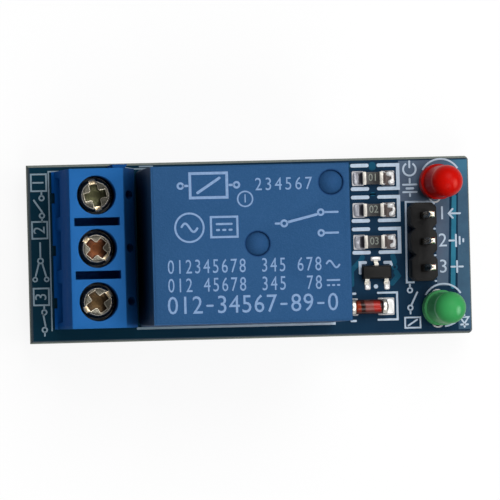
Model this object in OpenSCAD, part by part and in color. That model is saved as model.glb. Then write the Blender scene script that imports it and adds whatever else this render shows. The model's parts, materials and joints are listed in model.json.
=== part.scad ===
// One-channel relay board: a screw terminal block, a changeover relay, its driver parts, two
// indicator lamps and a three-pin header on one circuit board.
// Millimetres. +X runs from the terminal block to the header, +Z is up, and the board stands on
// the ends of its terminal and relay pins at Z = 0. Heights inside a part count from the board's
// upper face.

/* [Board] */
// Width of the circuit board
board_w = 17.3; // [17.1:0.1:24]
// Thickness of the circuit board
board_t = 1.6; // [1:0.1:2.4]
// Depth of the snapped score along each edge
score_in = 0.25; // [0.1:0.05:0.4]
// Thickness left between the two scores at an edge
score_web = 0.6; // [0.3:0.1:0.8]
// Cut across the two corners at the header end
corner_cut = 0.3; // [0.2:0.1:1.2]
// Length of the terminal and relay pins below the board
pin_drop = 2; // [1.6:0.1:3]
// Room round a pin in its hole through the board
hole_gap = 0.12; // [0.05:0.01:0.2]
// Distance of the row of large parts from the board's centre line
row_y = 0.32; // [0:0.01:0.4]

/* [Terminal block] */
// Distance between two poles
pole_pitch = 5.08; // [5:0.01:5.15]
// Height of the block
block_h = 10; // [9.8:0.1:12]
// Depth of the block from front to back
block_d = 7.6; // [7.5:0.1:8.4]
// Depth of the block's flat top
block_top = 5.15; // [4.8:0.05:5.3]
// Setback of the flat top from the front foot
block_lean = 1; // [0.9:0.05:1.2]
// Height of the upright part of the back wall
block_back_h = 5.5; // [4.5:0.1:6.5]
// Distance of the block's front from the board's end
block_inset = 2.35; // [1.5:0.05:3]
// Diameter of a screw well
well_d = 3.56; // [3.5:0.02:3.7]
// Length of the slot between two wells
rib_slot_l = 4.35; // [3:0.05:4.6]
// Width of the slot between two wells
rib_slot_w = 0.8; // [0.4:0.05:0.9]
// Diameter of the small hole in the back slope
probe_d = 0.9; // [0.5:0.05:1.1]
// Width of a clamp frame
frame_w = 3.9; // [3.7:0.05:4]
// Depth of a clamp frame, along the wire
frame_d = 4.2; // [3.9:0.05:4.4]
// Thickness of the clamp frame's strip
frame_t = 0.5; // [0.4:0.05:0.6]
// Thickness of the clamp frame's threaded plate
plate_t = 1; // [0.8:0.05:1.1]
// Height of the clamp frame above the board
frame_lift = 0.4; // [0.3:0.05:0.6]
// Width of the wire opening at the block's face
entry_w = 4; // [3.4:0.05:4.2]

/* [Clamp screws] */
// Diameter of a screw's head
head_d = 3.1; // [2.8:0.05:3.2]
// Height of a screw's head
head_h = 1.3; // [1.2:0.05:1.5]
// Outside diameter of the screw's thread
shank_d = 2.44; // [2:0.02:2.6]
// Room between the screw and its tapped hole
thread_gap = 0.03; // [0.02:0.01:0.08]
// Pitch of the screw's thread
thread_pitch = 0.45; // [0.35:0.05:0.45]
// Width of the driver slot
driver_slot_w = 0.6; // [0.4:0.05:0.8]
// Thickness of the wire guard
guard_t = 0.3; // [0.2:0.05:0.4]
// Room beside the wire guard in its frame
guard_gap = 0.1; // [0.05:0.01:0.2]

/* [Relay] */
// Length of the relay's cover at its foot
relay_l = 19.1; // [18.9:0.1:20]
// Width of the relay's cover at its foot
relay_w = 15.2; // [15:0.1:16]
// Height of the relay above the board
relay_h = 15.6; // [15.5:0.1:17]
// Thickness of the relay's cover
cover_t = 0.9; // [0.7:0.05:1]
// Distance between the terminal block and the relay
relay_gap = 0.6; // [0.3:0.05:1]
// Draft of the cover on each side
cover_draft = 0.12; // [0:0.02:0.25]
// Radius of the cover's upright edges
cover_r = 0.4; // [0.2:0.05:0.8]
// Diameter of the two round marks in the cover's top
mark_d = 2.35; // [1.5:0.05:3]
// Depth of the two round marks
mark_depth = 0.2; // [0.1:0.05:0.4]
// Thickness of the relay's base
base_t = 1.6; // [1.2:0.1:1.8]
// Lift of the relay's base on its feet
foot_h = 0.3; // [0.2:0.05:0.5]
// Thickness of the iron yoke
yoke_t = 1.2; // [0.9:0.05:1.3]
// Thickness of the armature
armature_t = 1.1; // [0.8:0.05:1.2]
// Angle that the armature turns through
armature_swing = 3.5; // [2:0.25:4]
// Radius of the coil's winding
winding_r = 4.3; // [3.6:0.05:4.4]
// Thickness of the contact spring
spring_t = 0.2; // [0.1:0.05:0.3]
// Width of the stamped contact pins
blade_w = 1; // [0.8:0.05:1.2]
// Thickness of the stamped contact pins
blade_t = 0.4; // [0.3:0.05:0.5]
// Side of a coil pin
coil_pin = 0.6; // [0.5:0.05:0.7]

/* [Small parts] */
// Room for the chips between the relay and the header
chip_room = 7.38; // [7.1:0.02:10]
// Distance from the relay to the middle of the column of chips
chip_gap = 4.05; // [3.9:0.05:4.3]
// Length of a chip resistor
chip_l = 2; // [1.8:0.05:2.2]
// Width of a chip resistor
chip_w = 1.25; // [1:0.05:1.4]
// Height of a chip resistor
chip_h = 0.5; // [0.4:0.05:0.6]
// Distance of the first resistor from the board's edge
chip_inset = 2; // [1.5:0.1:3]
// Distance from one resistor to the next
chip_pitch = 3.1; // [2.6:0.05:3.2]
// Length of the transistor's body
transistor_l = 2.9; // [2.6:0.05:3]
// Width of the transistor's body
transistor_w = 1.3; // [1.2:0.05:1.5]
// Height of the transistor
transistor_h = 1; // [0.9:0.05:1.2]
// Length of the glass diode over its caps
diode_l = 3.5; // [3.2:0.05:3.7]
// Diameter of the glass diode's caps
diode_d = 1.5; // [1.3:0.05:1.6]
// Diameter of a lamp's body
led_d = 3.1; // [2.8:0.05:3.2]
// Diameter of a lamp's flange
led_flange_d = 3.5; // [3.4:0.05:3.8]
// Height of a lamp from flange to crown
led_h = 5.3; // [4.8:0.1:6]
// Lean of the lamps towards the header end
led_lean = 7.5; // [0:0.5:8]
// Side of a lamp's lead
led_lead = 0.45; // [0.4:0.05:0.5]
// Distance of the lamps from the board's end
led_inset = 3.4; // [3.1:0.05:3.5]

/* [Header] */
// Distance between two header pins
header_pitch = 2.54; // [2.5:0.01:2.6]
// Height of the header's plastic
header_h = 2.54; // [2:0.1:3]
// Height of the header pins above the board
header_pin_h = 8.5; // [7:0.1:9]
// Side of a header pin
header_pin = 0.64; // [0.6:0.01:0.68]
// Distance of the header from the board's end
header_inset = 4.9; // [4.7:0.1:5.3]

/* [Hidden] */
$fn = 48;

header_w = header_pitch;
board_l = block_inset + block_d + relay_gap + relay_l + chip_room + header_w / 2 + header_inset;
board_top = pin_drop + board_t;
pin_bottom = -board_t - pin_drop;  // the end of the longest pins, below the board's upper face
through = 0.5;  // how far a cutting shape runs past the face that it cuts

// Terminal block, with x counted from the front foot
poles = 3;
block_l = poles * pole_pitch;
block_x = -board_l / 2 + block_inset;
screw_in = block_lean + block_top / 2;
ledge_in = 0.28;
ledge_z = 0.5;
shoulder_in = block_lean - 0.3;
shoulder_z = block_h - 2;
frame_fit = 0.05;
cavity_d = frame_d + 2 * frame_fit;
cavity_w = frame_w + 2 * frame_fit;
turns = 5;
stop_gap = 0.15;
screw_travel = turns * thread_pitch;
floor_z = frame_lift + frame_t;
guard_z = floor_z + screw_travel + stop_gap;
guard_lip = 0.3;
guard_l = frame_d - 0.8;
plate_z = guard_z + guard_t + guard_lip + 0.1;
frame_top = plate_z + plate_t;
head_z = frame_top + screw_travel + stop_gap;
tip_z = guard_z + guard_t + 0.05;
slot_floor_z = frame_top + 1;
tongue_x = block_d - 1.4;
tongue_fit = 0.05;
terminal_pin_w = 1;
terminal_pin_t = 0.6;
driver_angles = [102, -42, 33];
slot_depth = 0.5;
cross_l = 2.1;
cross_w = 0.75;
cross_depth = 0.8;
cup_r = 0.62;  // the round bottom of the recess
cup_depth = 0.95;

// Relay, with u counted from the outside of the cover at the coil end, towards the contacts
relay_x = block_x + block_d + relay_gap + relay_l / 2;
common_u = 1.25;
coil_u = 3.25;
contact_in = 3.65;  // distance of the contact pins from the cover's contact end
contact_u = relay_l - contact_in;
row_half = relay_w / 2 - 1.6;  // half the distance between the two rows of side pins
inner_l = relay_l - 2 * cover_t;
inner_w = relay_w - 2 * cover_t;
base_top = foot_h + base_t;
foot_in = 3;
foot_r = 0.5;
mark_places = [[1.9, relay_w / 2 - 1.94], [relay_l / 2 - 0.55, 0]];
yoke_u = common_u + blade_t / 2;
yoke_w = 8;
contact_room = 4.2;  // height over the yoke for the armature and the contacts
yoke_h = relay_h - cover_t - base_top - contact_room;
coil_gap = 0.1;  // between the spool and the yoke's upright
flange_half = winding_r + 0.2;
ear_l = 1.5;  // length of a spool's ear, which holds a coil pin
ear_out = 0.5;  // reach of an ear past its pin
coil_pin_up = 1.2;  // height of a coil pin over its ear
common_pin_h = 4.2;
flange_t = 0.7;
flange_low = yoke_t;
pole_t = 0.6;
flange_high = yoke_h - pole_t - coil_gap;
core_u = yoke_u + yoke_t + coil_gap + flange_half;
tube_t = 0.6;
tube_r = winding_r - 1.8;
core_r = tube_r - tube_t;
rivet_r = core_r - 0.7;
pole_r = core_r + 1.3;
foot_end_u = core_u + pole_r;
hinge_gap = 0.05;
hinge_h = yoke_h + hinge_gap;
armature_l = core_u + pole_r - yoke_u + 0.2;
armature_w = yoke_w;
spring_w = 4.6;
notch_l = 1.2;  // the armature is narrower at its hinge
notch_w = 0.9;
spring_tail = 2.4;
tail_x = -(spring_tail + hinge_gap) * tan(armature_swing) - hinge_gap;  // beside the yoke
moving_r = 0.8;
moving_h = 0.5;
fixed_r = 1;
fixed_h = 0.4;
contact_reach = contact_u - yoke_u;
spring_end = contact_reach + 1.2;
contact_gap = 0.05;
open_face = hinge_h + armature_t - moving_h - contact_gap;
closed_face = hinge_h + contact_reach * sin(armature_swing)
  + (armature_t + spring_t + moving_h) * cos(armature_swing)
  + moving_r * sin(armature_swing) + contact_gap;

// Small parts
chips_x = relay_x + relay_l / 2 + chip_gap;
resistor_y = [for (i = [0:2]) board_w / 2 - chip_inset - i * chip_pitch];
cap_l = 0.35;
cap_step = 0.03;
transistor_step = 2.95;
transistor_y = resistor_y[2] - transistor_step;
transistor_x = chips_x + 0.12;
lead_w = 0.4;
lead_t = 0.12;
lead_reach = 0.55;
lead_side = 0.95;
diode_shift = 0.75;  // towards the relay
diode_x = chips_x - diode_shift;
diode_step = 3.35;
diode_y = transistor_y - diode_step;
diode_cap_l = 0.45;
led_x = board_l / 2 - led_inset;
led_red_in = 2.65;
led_green_in = 2.47;
led_y = [board_w / 2 - led_red_in, -board_w / 2 + led_green_in];
led_stand = 0.6;
led_flange_h = 1;
led_side = 1.27;
led_drop = 1.5;
header_x = board_l / 2 - header_inset;
header_drop = 1.4;
solder_h = 1.1;
solder_pad = 0.45;

function pole_y(i) = row_y + (1 - i) * pole_pitch;
function header_y(i) = row_y + (1 - i) * header_pitch;
function half_diagonal(a, b) = sqrt(a * a + b * b) / 2;

// Every pin that goes through the board: its place and the sides of its section
terminal_pins = [for (i = [0:2]) [block_x + screw_in, pole_y(i), terminal_pin_t, terminal_pin_w]];
relay_pins = [
  for (p = [[common_u, 0, blade_t, blade_w],
            [coil_u, row_half, coil_pin, coil_pin],
            [coil_u, -row_half, coil_pin, coil_pin],
            [contact_u, row_half, blade_w, blade_t],
            [contact_u, -row_half, blade_w, blade_t]])
  [relay_x + relay_l / 2 - p[0], row_y + p[1], p[2], p[3]]
];
header_pins = [for (i = [0:2]) [header_x, header_y(i), header_pin, header_pin]];
led_pins = [for (y = led_y, s = [-1, 1]) [led_x, y + s * led_side, led_lead, led_lead]];
all_pins = concat(terminal_pins, relay_pins, header_pins, led_pins);

// ---- Helpers ----

// Moves a part from the board's upper face to its place
module on_board(x = 0, y = 0) translate([x, y, board_top]) children();

// Extrudes an outline in Y and Z along X, or an outline in X and Z along Y, about the middle
module along_x(length) rotate([90, 0, 90]) linear_extrude(length, center = true) children();
module along_y(length) rotate([90, 0, 0]) linear_extrude(length, center = true) children();

// A box that is centred in X and Y and runs between two heights
module box(size_x, size_y, z0, z1)
  translate([-size_x / 2, -size_y / 2, z0]) cube([size_x, size_y, z1 - z0]);

// A rectangle with round corners that stay true arcs
module round_rectangle(l, w, r) {
  square([l - 2 * r, w], center = true);
  square([l, w - 2 * r], center = true);
  for (sx = [-1, 1], sy = [-1, 1])
    translate([sx * (l / 2 - r), sy * (w / 2 - r)]) circle(r);
}

// ---- Circuit board ----

// The outline of the board seen from its end, with a snapped V score on both edges
module edge_outline(w) {
  low = (board_t - score_web) / 2;
  half = w / 2;
  polygon([
    [-half + score_in, 0], [half - score_in, 0], [half, low], [half, board_t - low],
    [half - score_in, board_t], [-half + score_in, board_t], [-half, board_t - low], [-half, low]
  ]);
}

module pcb() color("#163a5a") on_board() translate([0, 0, -board_t]) difference() {
  intersection() {
    along_x(board_l) edge_outline(board_w);
    along_y(board_w) edge_outline(board_l);
    linear_extrude(board_t) polygon([
      [-board_l / 2, -board_w / 2], [board_l / 2 - corner_cut, -board_w / 2],
      [board_l / 2, -board_w / 2 + corner_cut], [board_l / 2, board_w / 2 - corner_cut],
      [board_l / 2 - corner_cut, board_w / 2], [-board_l / 2, board_w / 2]
    ]);
  }
  for (p = all_pins)
    translate([p[0], p[1], -through])
      cylinder(board_t + 2 * through, r = half_diagonal(p[2], p[3]) + hole_gap, $fn = 24);
}

// ---- Terminal block ----

module block_outline() polygon([
  [0, 0], [0, ledge_z], [ledge_in, ledge_z + 0.1], [shoulder_in, shoulder_z], [block_lean, block_h],
  [block_lean + block_top, block_h], [block_d, block_back_h], [block_d, 0]
]);

// The outline of the tongue on one end of the block, and of the groove for it on the other
module dovetail(fit = 0) {
  neck = 0.5 + fit;
  wide = 0.75 + fit;
  out = 0.45 + fit;
  polygon([[-neck, -through * sign(fit)], [neck, -through * sign(fit)], [neck, 0],
    [wide, out], [-wide, out], [-neck, 0]]);
}

// The room for one wire: it narrows from the block's face to the clamp frame
module wire_entry() {
  inside_w = frame_w - 2 * frame_t;
  depth = screw_in - cavity_d / 2;
  intersection() {
    along_y(entry_w) polygon([
      [-through, floor_z - 0.35], [0, floor_z - 0.35], [depth, floor_z], [depth + through, floor_z],
      [depth + through, plate_z], [depth, plate_z], [0, plate_z + 0.5], [-through, plate_z + 0.5]
    ]);
    linear_extrude(block_h) polygon([
      [-through, -entry_w / 2], [ledge_in, -entry_w / 2], [depth, -inside_w / 2],
      [depth + through, -inside_w / 2], [depth + through, inside_w / 2], [depth, inside_w / 2],
      [ledge_in, entry_w / 2], [-through, entry_w / 2]
    ]);
  }
}

module terminal_housing() color("#2a66ad") on_board(block_x, row_y) difference() {
  union() {
    along_y(block_l) block_outline();
    translate([tongue_x, block_l / 2, 0]) linear_extrude(block_back_h) dovetail();
  }
  translate([tongue_x, -block_l / 2, -through])
    linear_extrude(block_back_h + 2 * through) dovetail(tongue_fit);
  for (i = [0:poles - 1]) translate([0, (1 - i) * pole_pitch, 0]) {
    translate([screw_in, 0, 0]) {
      box(cavity_d, cavity_w, -through, frame_top);
      translate([0, 0, frame_top - through]) cylinder(block_h, d = well_d);
    }
    wire_entry();
    translate([-through, -0.5, -through]) cube([ledge_in + through, 1, ledge_z + 2 * through]);
    translate([(block_lean + block_top + block_d) / 2, 0, block_back_h + 0.4])
      cylinder(block_h, d = probe_d, $fn = 24);
  }
  for (i = [0:poles - 2])
    translate([screw_in, (0.5 - i) * pole_pitch, 0])
      box(rib_slot_l, rib_slot_w, slot_floor_z, block_h + through);
}

// A folded strip: floor, two sides and a tapped plate, with its solder pin
module terminal_frame(i) color("#c9c4b4") on_board(block_x + screw_in, pole_y(i)) {
  difference() {
    box(frame_d, frame_w, frame_lift, frame_top);
    box(frame_d + 2 * through, frame_w - 2 * frame_t, floor_z, plate_z);
    translate([0, 0, plate_z - through])
      cylinder(plate_t + 2 * through, d = shank_d + 2 * thread_gap);
    for (s = [-1, 1]) translate([s * frame_d / 4, 0, 0])
      box(0.3, frame_w - 2 * frame_t, floor_z - 0.12, floor_z + through);
  }
  box(terminal_pin_t, terminal_pin_w, pin_bottom, frame_lift);
}

// The leaf under the screw: grooved below, with both ends turned up
module wire_guard(i) color("#b9bcc0") on_board(block_x + screw_in, pole_y(i)) {
  guard_w = frame_w - 2 * frame_t - 2 * guard_gap;
  difference() {
    box(guard_l, guard_w, guard_z, guard_z + guard_t);
    for (x = [-1, 0, 1]) translate([x, 0, 0])
      box(0.25, guard_w + 2 * through, guard_z - through, guard_z + 0.1);
  }
  for (s = [-1, 1]) translate([s * (guard_l - guard_t) / 2, 0, 0])
    box(guard_t, guard_w, guard_z + guard_t, guard_z + guard_t + guard_lip);
}

// A cheese-head clamp screw with a slot and a cross recess
module terminal_screw(i) color("#b8b4a6") on_board(block_x + screw_in, pole_y(i))
  rotate([0, 0, driver_angles[i]]) {
    head_r = head_d / 2;
    head_top = head_z + head_h;
    difference() {
      rotate_extrude() polygon([
        [0, tip_z], [shank_d / 2 - 0.25, tip_z], [shank_d / 2, tip_z + 0.25],
        [shank_d / 2, head_z], [head_r - 0.1, head_z], [head_r, head_z + 0.1],
        [head_r, head_top - 0.25], [head_r - 0.25, head_top], [0, head_top]
      ]);
      box(head_d + 2 * through, driver_slot_w, head_top - slot_depth, head_top + through);
      for (a = [0, 90]) rotate([0, 0, a])
        box(cross_l, cross_w, head_top - cross_depth, head_top + through);
      translate([0, 0, head_top - cup_depth]) cylinder(head_h, r = cup_r, $fn = 24);
    }
  }

// ---- Relay ----

// Puts a part of the relay in place, with +X from the coil end towards the contacts
module in_relay() on_board(relay_x + relay_l / 2, row_y) mirror([1, 0, 0]) children();

module cover_outline(l) {
  bevel = 0.2;
  draft = cover_draft;
  polygon([
    [-l / 2, foot_h], [l / 2, foot_h], [l / 2 - draft, relay_h - bevel],
    [l / 2 - draft - bevel, relay_h], [-l / 2 + draft + bevel, relay_h],
    [-l / 2 + draft, relay_h - bevel]
  ]);
}

module relay_cover() color("#34598a") in_relay() difference() {
  translate([relay_l / 2, 0, 0]) intersection() {
    along_y(relay_w) cover_outline(relay_l);
    along_x(relay_l) cover_outline(relay_w);
    linear_extrude(relay_h) round_rectangle(relay_l, relay_w, cover_r);
  }
  translate([relay_l / 2, 0, 0]) box(inner_l, inner_w, 0, relay_h - cover_t);
  for (m = mark_places)
    translate([m[0], m[1], relay_h - mark_depth]) cylinder(mark_depth + through, d = mark_d);
}

// The moulded base: it closes the cover from below and stands on four feet
module relay_base() color("#1c1f24") in_relay() difference() {
  translate([relay_l / 2, 0, 0]) {
    box(inner_l, inner_w, foot_h, base_top);
    for (sx = [-1, 1], sy = [-1, 1])
      translate([sx * (inner_l / 2 - foot_in), sy * (inner_w / 2 - foot_in), 0])
        cylinder(foot_h, r = foot_r);
  }
  translate([common_u, 0, 0]) box(blade_t, blade_w, 0, relay_h);
  for (s = [-1, 1]) {
    translate([coil_u, s * row_half, 0]) box(coil_pin, coil_pin, 0, relay_h);
    translate([contact_u, s * row_half, 0]) box(blade_w, blade_t, 0, relay_h);
  }
}

// Heights of the mechanism count from the base's upper face
module on_base() in_relay() translate([0, 0, base_top]) children();

module relay_yoke() color("#9a9ea3") on_base() difference() {
  union() {
    translate([yoke_u + yoke_t / 2, 0, 0]) box(yoke_t, yoke_w, 0, yoke_h);
    translate([(yoke_u + foot_end_u) / 2, 0, 0])
      box(foot_end_u - yoke_u, yoke_w, 0, yoke_t);
  }
  translate([core_u, 0, -through]) cylinder(yoke_t + 2 * through, r = rivet_r);
}

module relay_core() color("#8b9096") on_base() translate([core_u, 0, 0]) {
  cylinder(yoke_t, r = rivet_r);
  translate([0, 0, yoke_t]) cylinder(flange_high - yoke_t, r = core_r);
  translate([0, 0, flange_high]) cylinder(pole_t, r = pole_r);
}

// The spool: two square flanges on a tube, with an ear for each coil pin
module relay_bobbin() color("#d8d4c6") on_base() difference() {
  union() {
    translate([core_u, 0, 0]) {
      box(2 * flange_half, 2 * flange_half, flange_low, flange_low + flange_t);
      box(2 * flange_half, 2 * flange_half, flange_high - flange_t, flange_high);
      translate([0, 0, flange_low]) cylinder(flange_high - flange_low, r = tube_r);
    }
    for (s = [-1, 1]) translate([coil_u + 0.2, s * (flange_half + row_half + ear_out) / 2, 0])
      box(ear_l, row_half + ear_out - flange_half + 0.2, flange_low, flange_low + flange_t);
  }
  translate([core_u, 0, 0]) cylinder(relay_h, r = core_r);
  for (s = [-1, 1]) translate([coil_u, s * row_half, 0]) box(coil_pin, coil_pin, 0, relay_h);
}

module relay_winding() color("#a4502c") on_base() translate([core_u, 0, flange_low + flange_t])
  difference() {
    cylinder(flange_high - flange_low - 2 * flange_t, r = winding_r);
    translate([0, 0, -through]) cylinder(flange_high, r = tube_r);
  }

module relay_coil_pins() color("#c9c4b4") on_base() for (s = [-1, 1])
  translate([coil_u, s * row_half, 0])
    box(coil_pin, coil_pin, pin_bottom - base_top, flange_low + flange_t + coil_pin_up);

module relay_common_pin() color("#c08a4c") on_base() translate([common_u, 0, 0])
  box(blade_t, blade_w, pin_bottom - base_top, common_pin_h);

// Turns a part of the armature from flat on the core to its released rest
module released() translate([yoke_u, 0, hinge_h]) rotate([0, -armature_swing, 0]) children();

module relay_armature() color("#9a9ea3") on_base() released() difference() {
  translate([armature_l / 2, 0, 0]) box(armature_l, armature_w, 0, armature_t);
  for (s = [-1, 1]) translate([-through, s * armature_w / 2 - notch_w, -through])
    cube([notch_l + through, 2 * notch_w, armature_t + 2 * through]);
}

// The leaf on the armature: a tail beside the yoke, and the moving contact at its tip
module relay_contact_spring() color("#c08a4c") on_base() released() {
  back = tail_x - spring_t;
  translate([(spring_end + back) / 2, 0, 0])
    box(spring_end - back, spring_w, armature_t, armature_t + spring_t);
  translate([tail_x - spring_t / 2, 0, 0])
    box(spring_t, spring_w, -spring_tail, armature_t + spring_t);
  translate([contact_reach, 0, armature_t - moving_h])
    cylinder(2 * moving_h + spring_t, r = moving_r);
}

// A stamped contact: pin, upright and arm, with its button facing up or down
module fixed_contact(side, face, faces_up) {
  arm_low = faces_up ? face - fixed_h - blade_t : face + fixed_h;
  translate([contact_u, side * row_half, 0])
    box(blade_w, blade_t, pin_bottom - base_top, arm_low + blade_t);
  translate([contact_u, side * (row_half + blade_t / 2 - fixed_r) / 2, 0])
    box(2 * fixed_r, row_half + blade_t / 2 + fixed_r, arm_low, arm_low + blade_t);
  translate([contact_u, 0, faces_up ? face - fixed_h : face]) cylinder(fixed_h, r = fixed_r);
}

module relay_open_contact() color("#c08a4c") on_base() fixed_contact(1, open_face, true);
module relay_closed_contact() color("#c08a4c") on_base() fixed_contact(-1, closed_face, false);

// ---- Chips ----

// A ceramic chip with a plated cap over each end
module resistor(i) color("#1d1d1f") on_board(chips_x, resistor_y[i]) {
  box(chip_l - 2 * cap_l, chip_w - 2 * cap_step, cap_step, chip_h - cap_step);
  for (s = [-1, 1]) translate([s * (chip_l - cap_l) / 2, 0, 0]) box(cap_l, chip_w, 0, chip_h);
}

module transistor_outline(l) {
  waist = transistor_h * 0.55;
  polygon([
    [-l / 2 + 0.08, 0.08], [l / 2 - 0.08, 0.08], [l / 2, waist], [l / 2 - 0.12, transistor_h],
    [-l / 2 + 0.12, transistor_h], [-l / 2, waist]
  ]);
}

module transistor_body() color("#232326") on_board(transistor_x, transistor_y) intersection() {
  along_y(transistor_w) transistor_outline(transistor_l);
  along_x(transistor_l) transistor_outline(transistor_w);
}

// A gull-wing lead in Y and Z, from the body's side down to its pad
module gull_wing() {
  y0 = transistor_w / 2;
  z1 = transistor_h * 0.55 + lead_t / 2;
  along_x(lead_w) polygon([
    [y0, z1 - lead_t], [y0 + 0.12, z1 - lead_t], [y0 + 0.2, 0], [y0 + lead_reach, 0],
    [y0 + lead_reach, lead_t], [y0 + 0.3, lead_t], [y0 + 0.22, z1], [y0, z1]
  ]);
}

module transistor_leads() color("#d5d2c8") on_board(transistor_x, transistor_y) {
  gull_wing();
  for (s = [-1, 1]) translate([s * lead_side, 0, 0]) mirror([0, 1, 0]) gull_wing();
}

module diode_glass() color("#b4492a") on_board(diode_x, diode_y)
  translate([0, 0, diode_d / 2]) rotate([0, 90, 0])
    cylinder(diode_l - 2 * diode_cap_l, r = diode_d / 2 - 0.05, center = true);

module diode_caps() color("#d5d2c8") on_board(diode_x, diode_y) for (s = [-1, 1])
  translate([s * (diode_l - diode_cap_l) / 2, 0, diode_d / 2]) rotate([0, 90, 0])
    cylinder(diode_cap_l, d = diode_d, center = true);

// ---- Lamps ----

// Leans a part of the lamp about the middle of its flange
module leaned() translate([0, 0, led_stand]) rotate([0, led_lean, 0]) children();

// One lead in the lens: the long post, or the anvil that holds the chip in its cup
module lead_head(side) {
  a = led_side - led_lead / 2;
  b = led_side + led_lead / 2;
  along_x(led_lead) scale([side, 1]) polygon(side > 0
    ? [[a, -0.1], [b, -0.1], [b, 0.7], [0.95, 1.6], [0.95, 2.6], [0.5, 2.6], [0.5, 1.5], [a, 0.6]]
    : [[a, -0.1], [b, -0.1], [b, 0.7], [1, 1.5], [1, 2.3], [0.55, 2.3], [0.4, 1.95], [0, 1.95],
       [-0.15, 2.3], [-0.25, 2.3], [-0.25, 1.5], [0.5, 1.1], [a, 0.5]]);
}

module led_lead_pin(side) {
  leaned() lead_head(side);
  translate([0, side * led_side, 0])
    box(led_lead, led_lead, -board_t - led_drop, led_stand - 0.03);
}

module led_lens() difference() {
  leaned() difference() {
    rotate_extrude() difference() {
      union() {
        square([led_flange_d / 2, led_flange_h]);
        square([led_d / 2, led_h - led_d / 2]);
        translate([0, led_h - led_d / 2]) circle(led_d / 2);
      }
      translate([-led_d, -through]) square([led_d, led_h + 2 * through]);
    }
    translate([-led_d, -led_flange_d / 2 - through, -through])
      cube([2 * led_d, through + 0.2, led_flange_h + through]);
  }
  leaned() for (side = [-1, 1]) lead_head(side);
}

module led_red_lens() color("#c81f12") on_board(led_x, led_y[0]) led_lens();
module led_red_anode() color("#c9c4b4") on_board(led_x, led_y[0]) led_lead_pin(1);
module led_red_cathode() color("#c9c4b4") on_board(led_x, led_y[0]) led_lead_pin(-1);
module led_green_lens() color("#2f9a4e") on_board(led_x, led_y[1]) led_lens();
module led_green_anode() color("#c9c4b4") on_board(led_x, led_y[1]) led_lead_pin(1);
module led_green_cathode() color("#c9c4b4") on_board(led_x, led_y[1]) led_lead_pin(-1);

// ---- Header ----

// Three eight-sided segments in a row, with a drain channel under each waist
module header_base() color("#26272a") on_board(header_x, row_y) difference() {
  corner = 0.45;
  linear_extrude(header_h) for (i = [-1:1]) translate([0, i * header_pitch]) polygon([
    [-header_w / 2, -header_pitch / 2 + corner], [-header_w / 2 + corner, -header_pitch / 2],
    [header_w / 2 - corner, -header_pitch / 2], [header_w / 2, -header_pitch / 2 + corner],
    [header_w / 2, header_pitch / 2 - corner], [header_w / 2 - corner, header_pitch / 2],
    [-header_w / 2 + corner, header_pitch / 2], [-header_w / 2, header_pitch / 2 - corner]
  ]);
  for (i = [-1:1]) translate([0, i * header_pitch, 0])
    box(header_pin, header_pin, -through, header_h + through);
  for (s = [-1, 1]) translate([0, s * header_pitch / 2, 0])
    box(header_w + through, 0.5, -through, 0.3);
}

// A square pin with both ends swaged to a blunt point
module header_pin_solid(i) color("#d8c98a") on_board(header_x, header_y(i)) intersection() {
  along_x(header_pin) pin_outline();
  along_y(header_pin) pin_outline();
}

module pin_outline() {
  half = header_pin / 2;
  low = -board_t - header_drop;
  tip = 0.17;
  taper = 0.45;
  polygon([
    [-tip, low], [tip, low], [half, low + taper], [half, header_pin_h - taper],
    [tip, header_pin_h], [-tip, header_pin_h], [-half, header_pin_h - taper],
    [-half, low + taper]
  ]);
}

// ---- Solder ----

// The hollow cone of solder under the board round each pin
module solder_cones(pins) on_board() for (p = pins) {
  pin_r = half_diagonal(p[2], p[3]);
  translate([p[0], p[1], -board_t]) difference() {
    rotate_extrude($fn = 32) polygon([
      [0, 0], [pin_r + solder_pad, 0], [pin_r + 0.28, -0.2], [pin_r + 0.16, -0.5],
      [pin_r + 0.06, -solder_h], [0, -solder_h]
    ]);
    box(p[2], p[3], -solder_h - through, through);
  }
}

module solder_terminal() color("#c4c6c4") solder_cones(terminal_pins);
module solder_relay() color("#c4c6c4") solder_cones(relay_pins);
module solder_header() color("#c4c6c4") solder_cones(header_pins);
module solder_leds() color("#c4c6c4") solder_cones(led_pins);

// The fillet of solder against the end of a chip, rising towards -X
module chip_fillet(width, height, reach) along_y(width) polygon([
  [0, 0], [reach, 0], [reach * 0.72, height * 0.2], [reach * 0.35, height * 0.45],
  [0, height * 0.9]
]);

module solder_chips() color("#d5d6d2") on_board() {
  for (y = resistor_y, s = [0, 1]) translate([chips_x, y, 0]) mirror([s, 0, 0])
    translate([chip_l / 2, 0, 0]) chip_fillet(chip_w, chip_h, 0.7);
  for (s = [0, 1]) translate([diode_x, diode_y, 0]) mirror([s, 0, 0])
    translate([diode_l / 2, 0, 0]) chip_fillet(diode_d * 0.8, diode_d * 0.6, 0.7);
  for (p = [[0, 1], [lead_side, -1], [-lead_side, -1]])
    translate([transistor_x + p[0], transistor_y + p[1] * (transistor_w / 2 + lead_reach), 0])
      rotate([0, 0, p[1] * 90]) chip_fillet(lead_w, lead_t * 2, 0.3);
}

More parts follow.
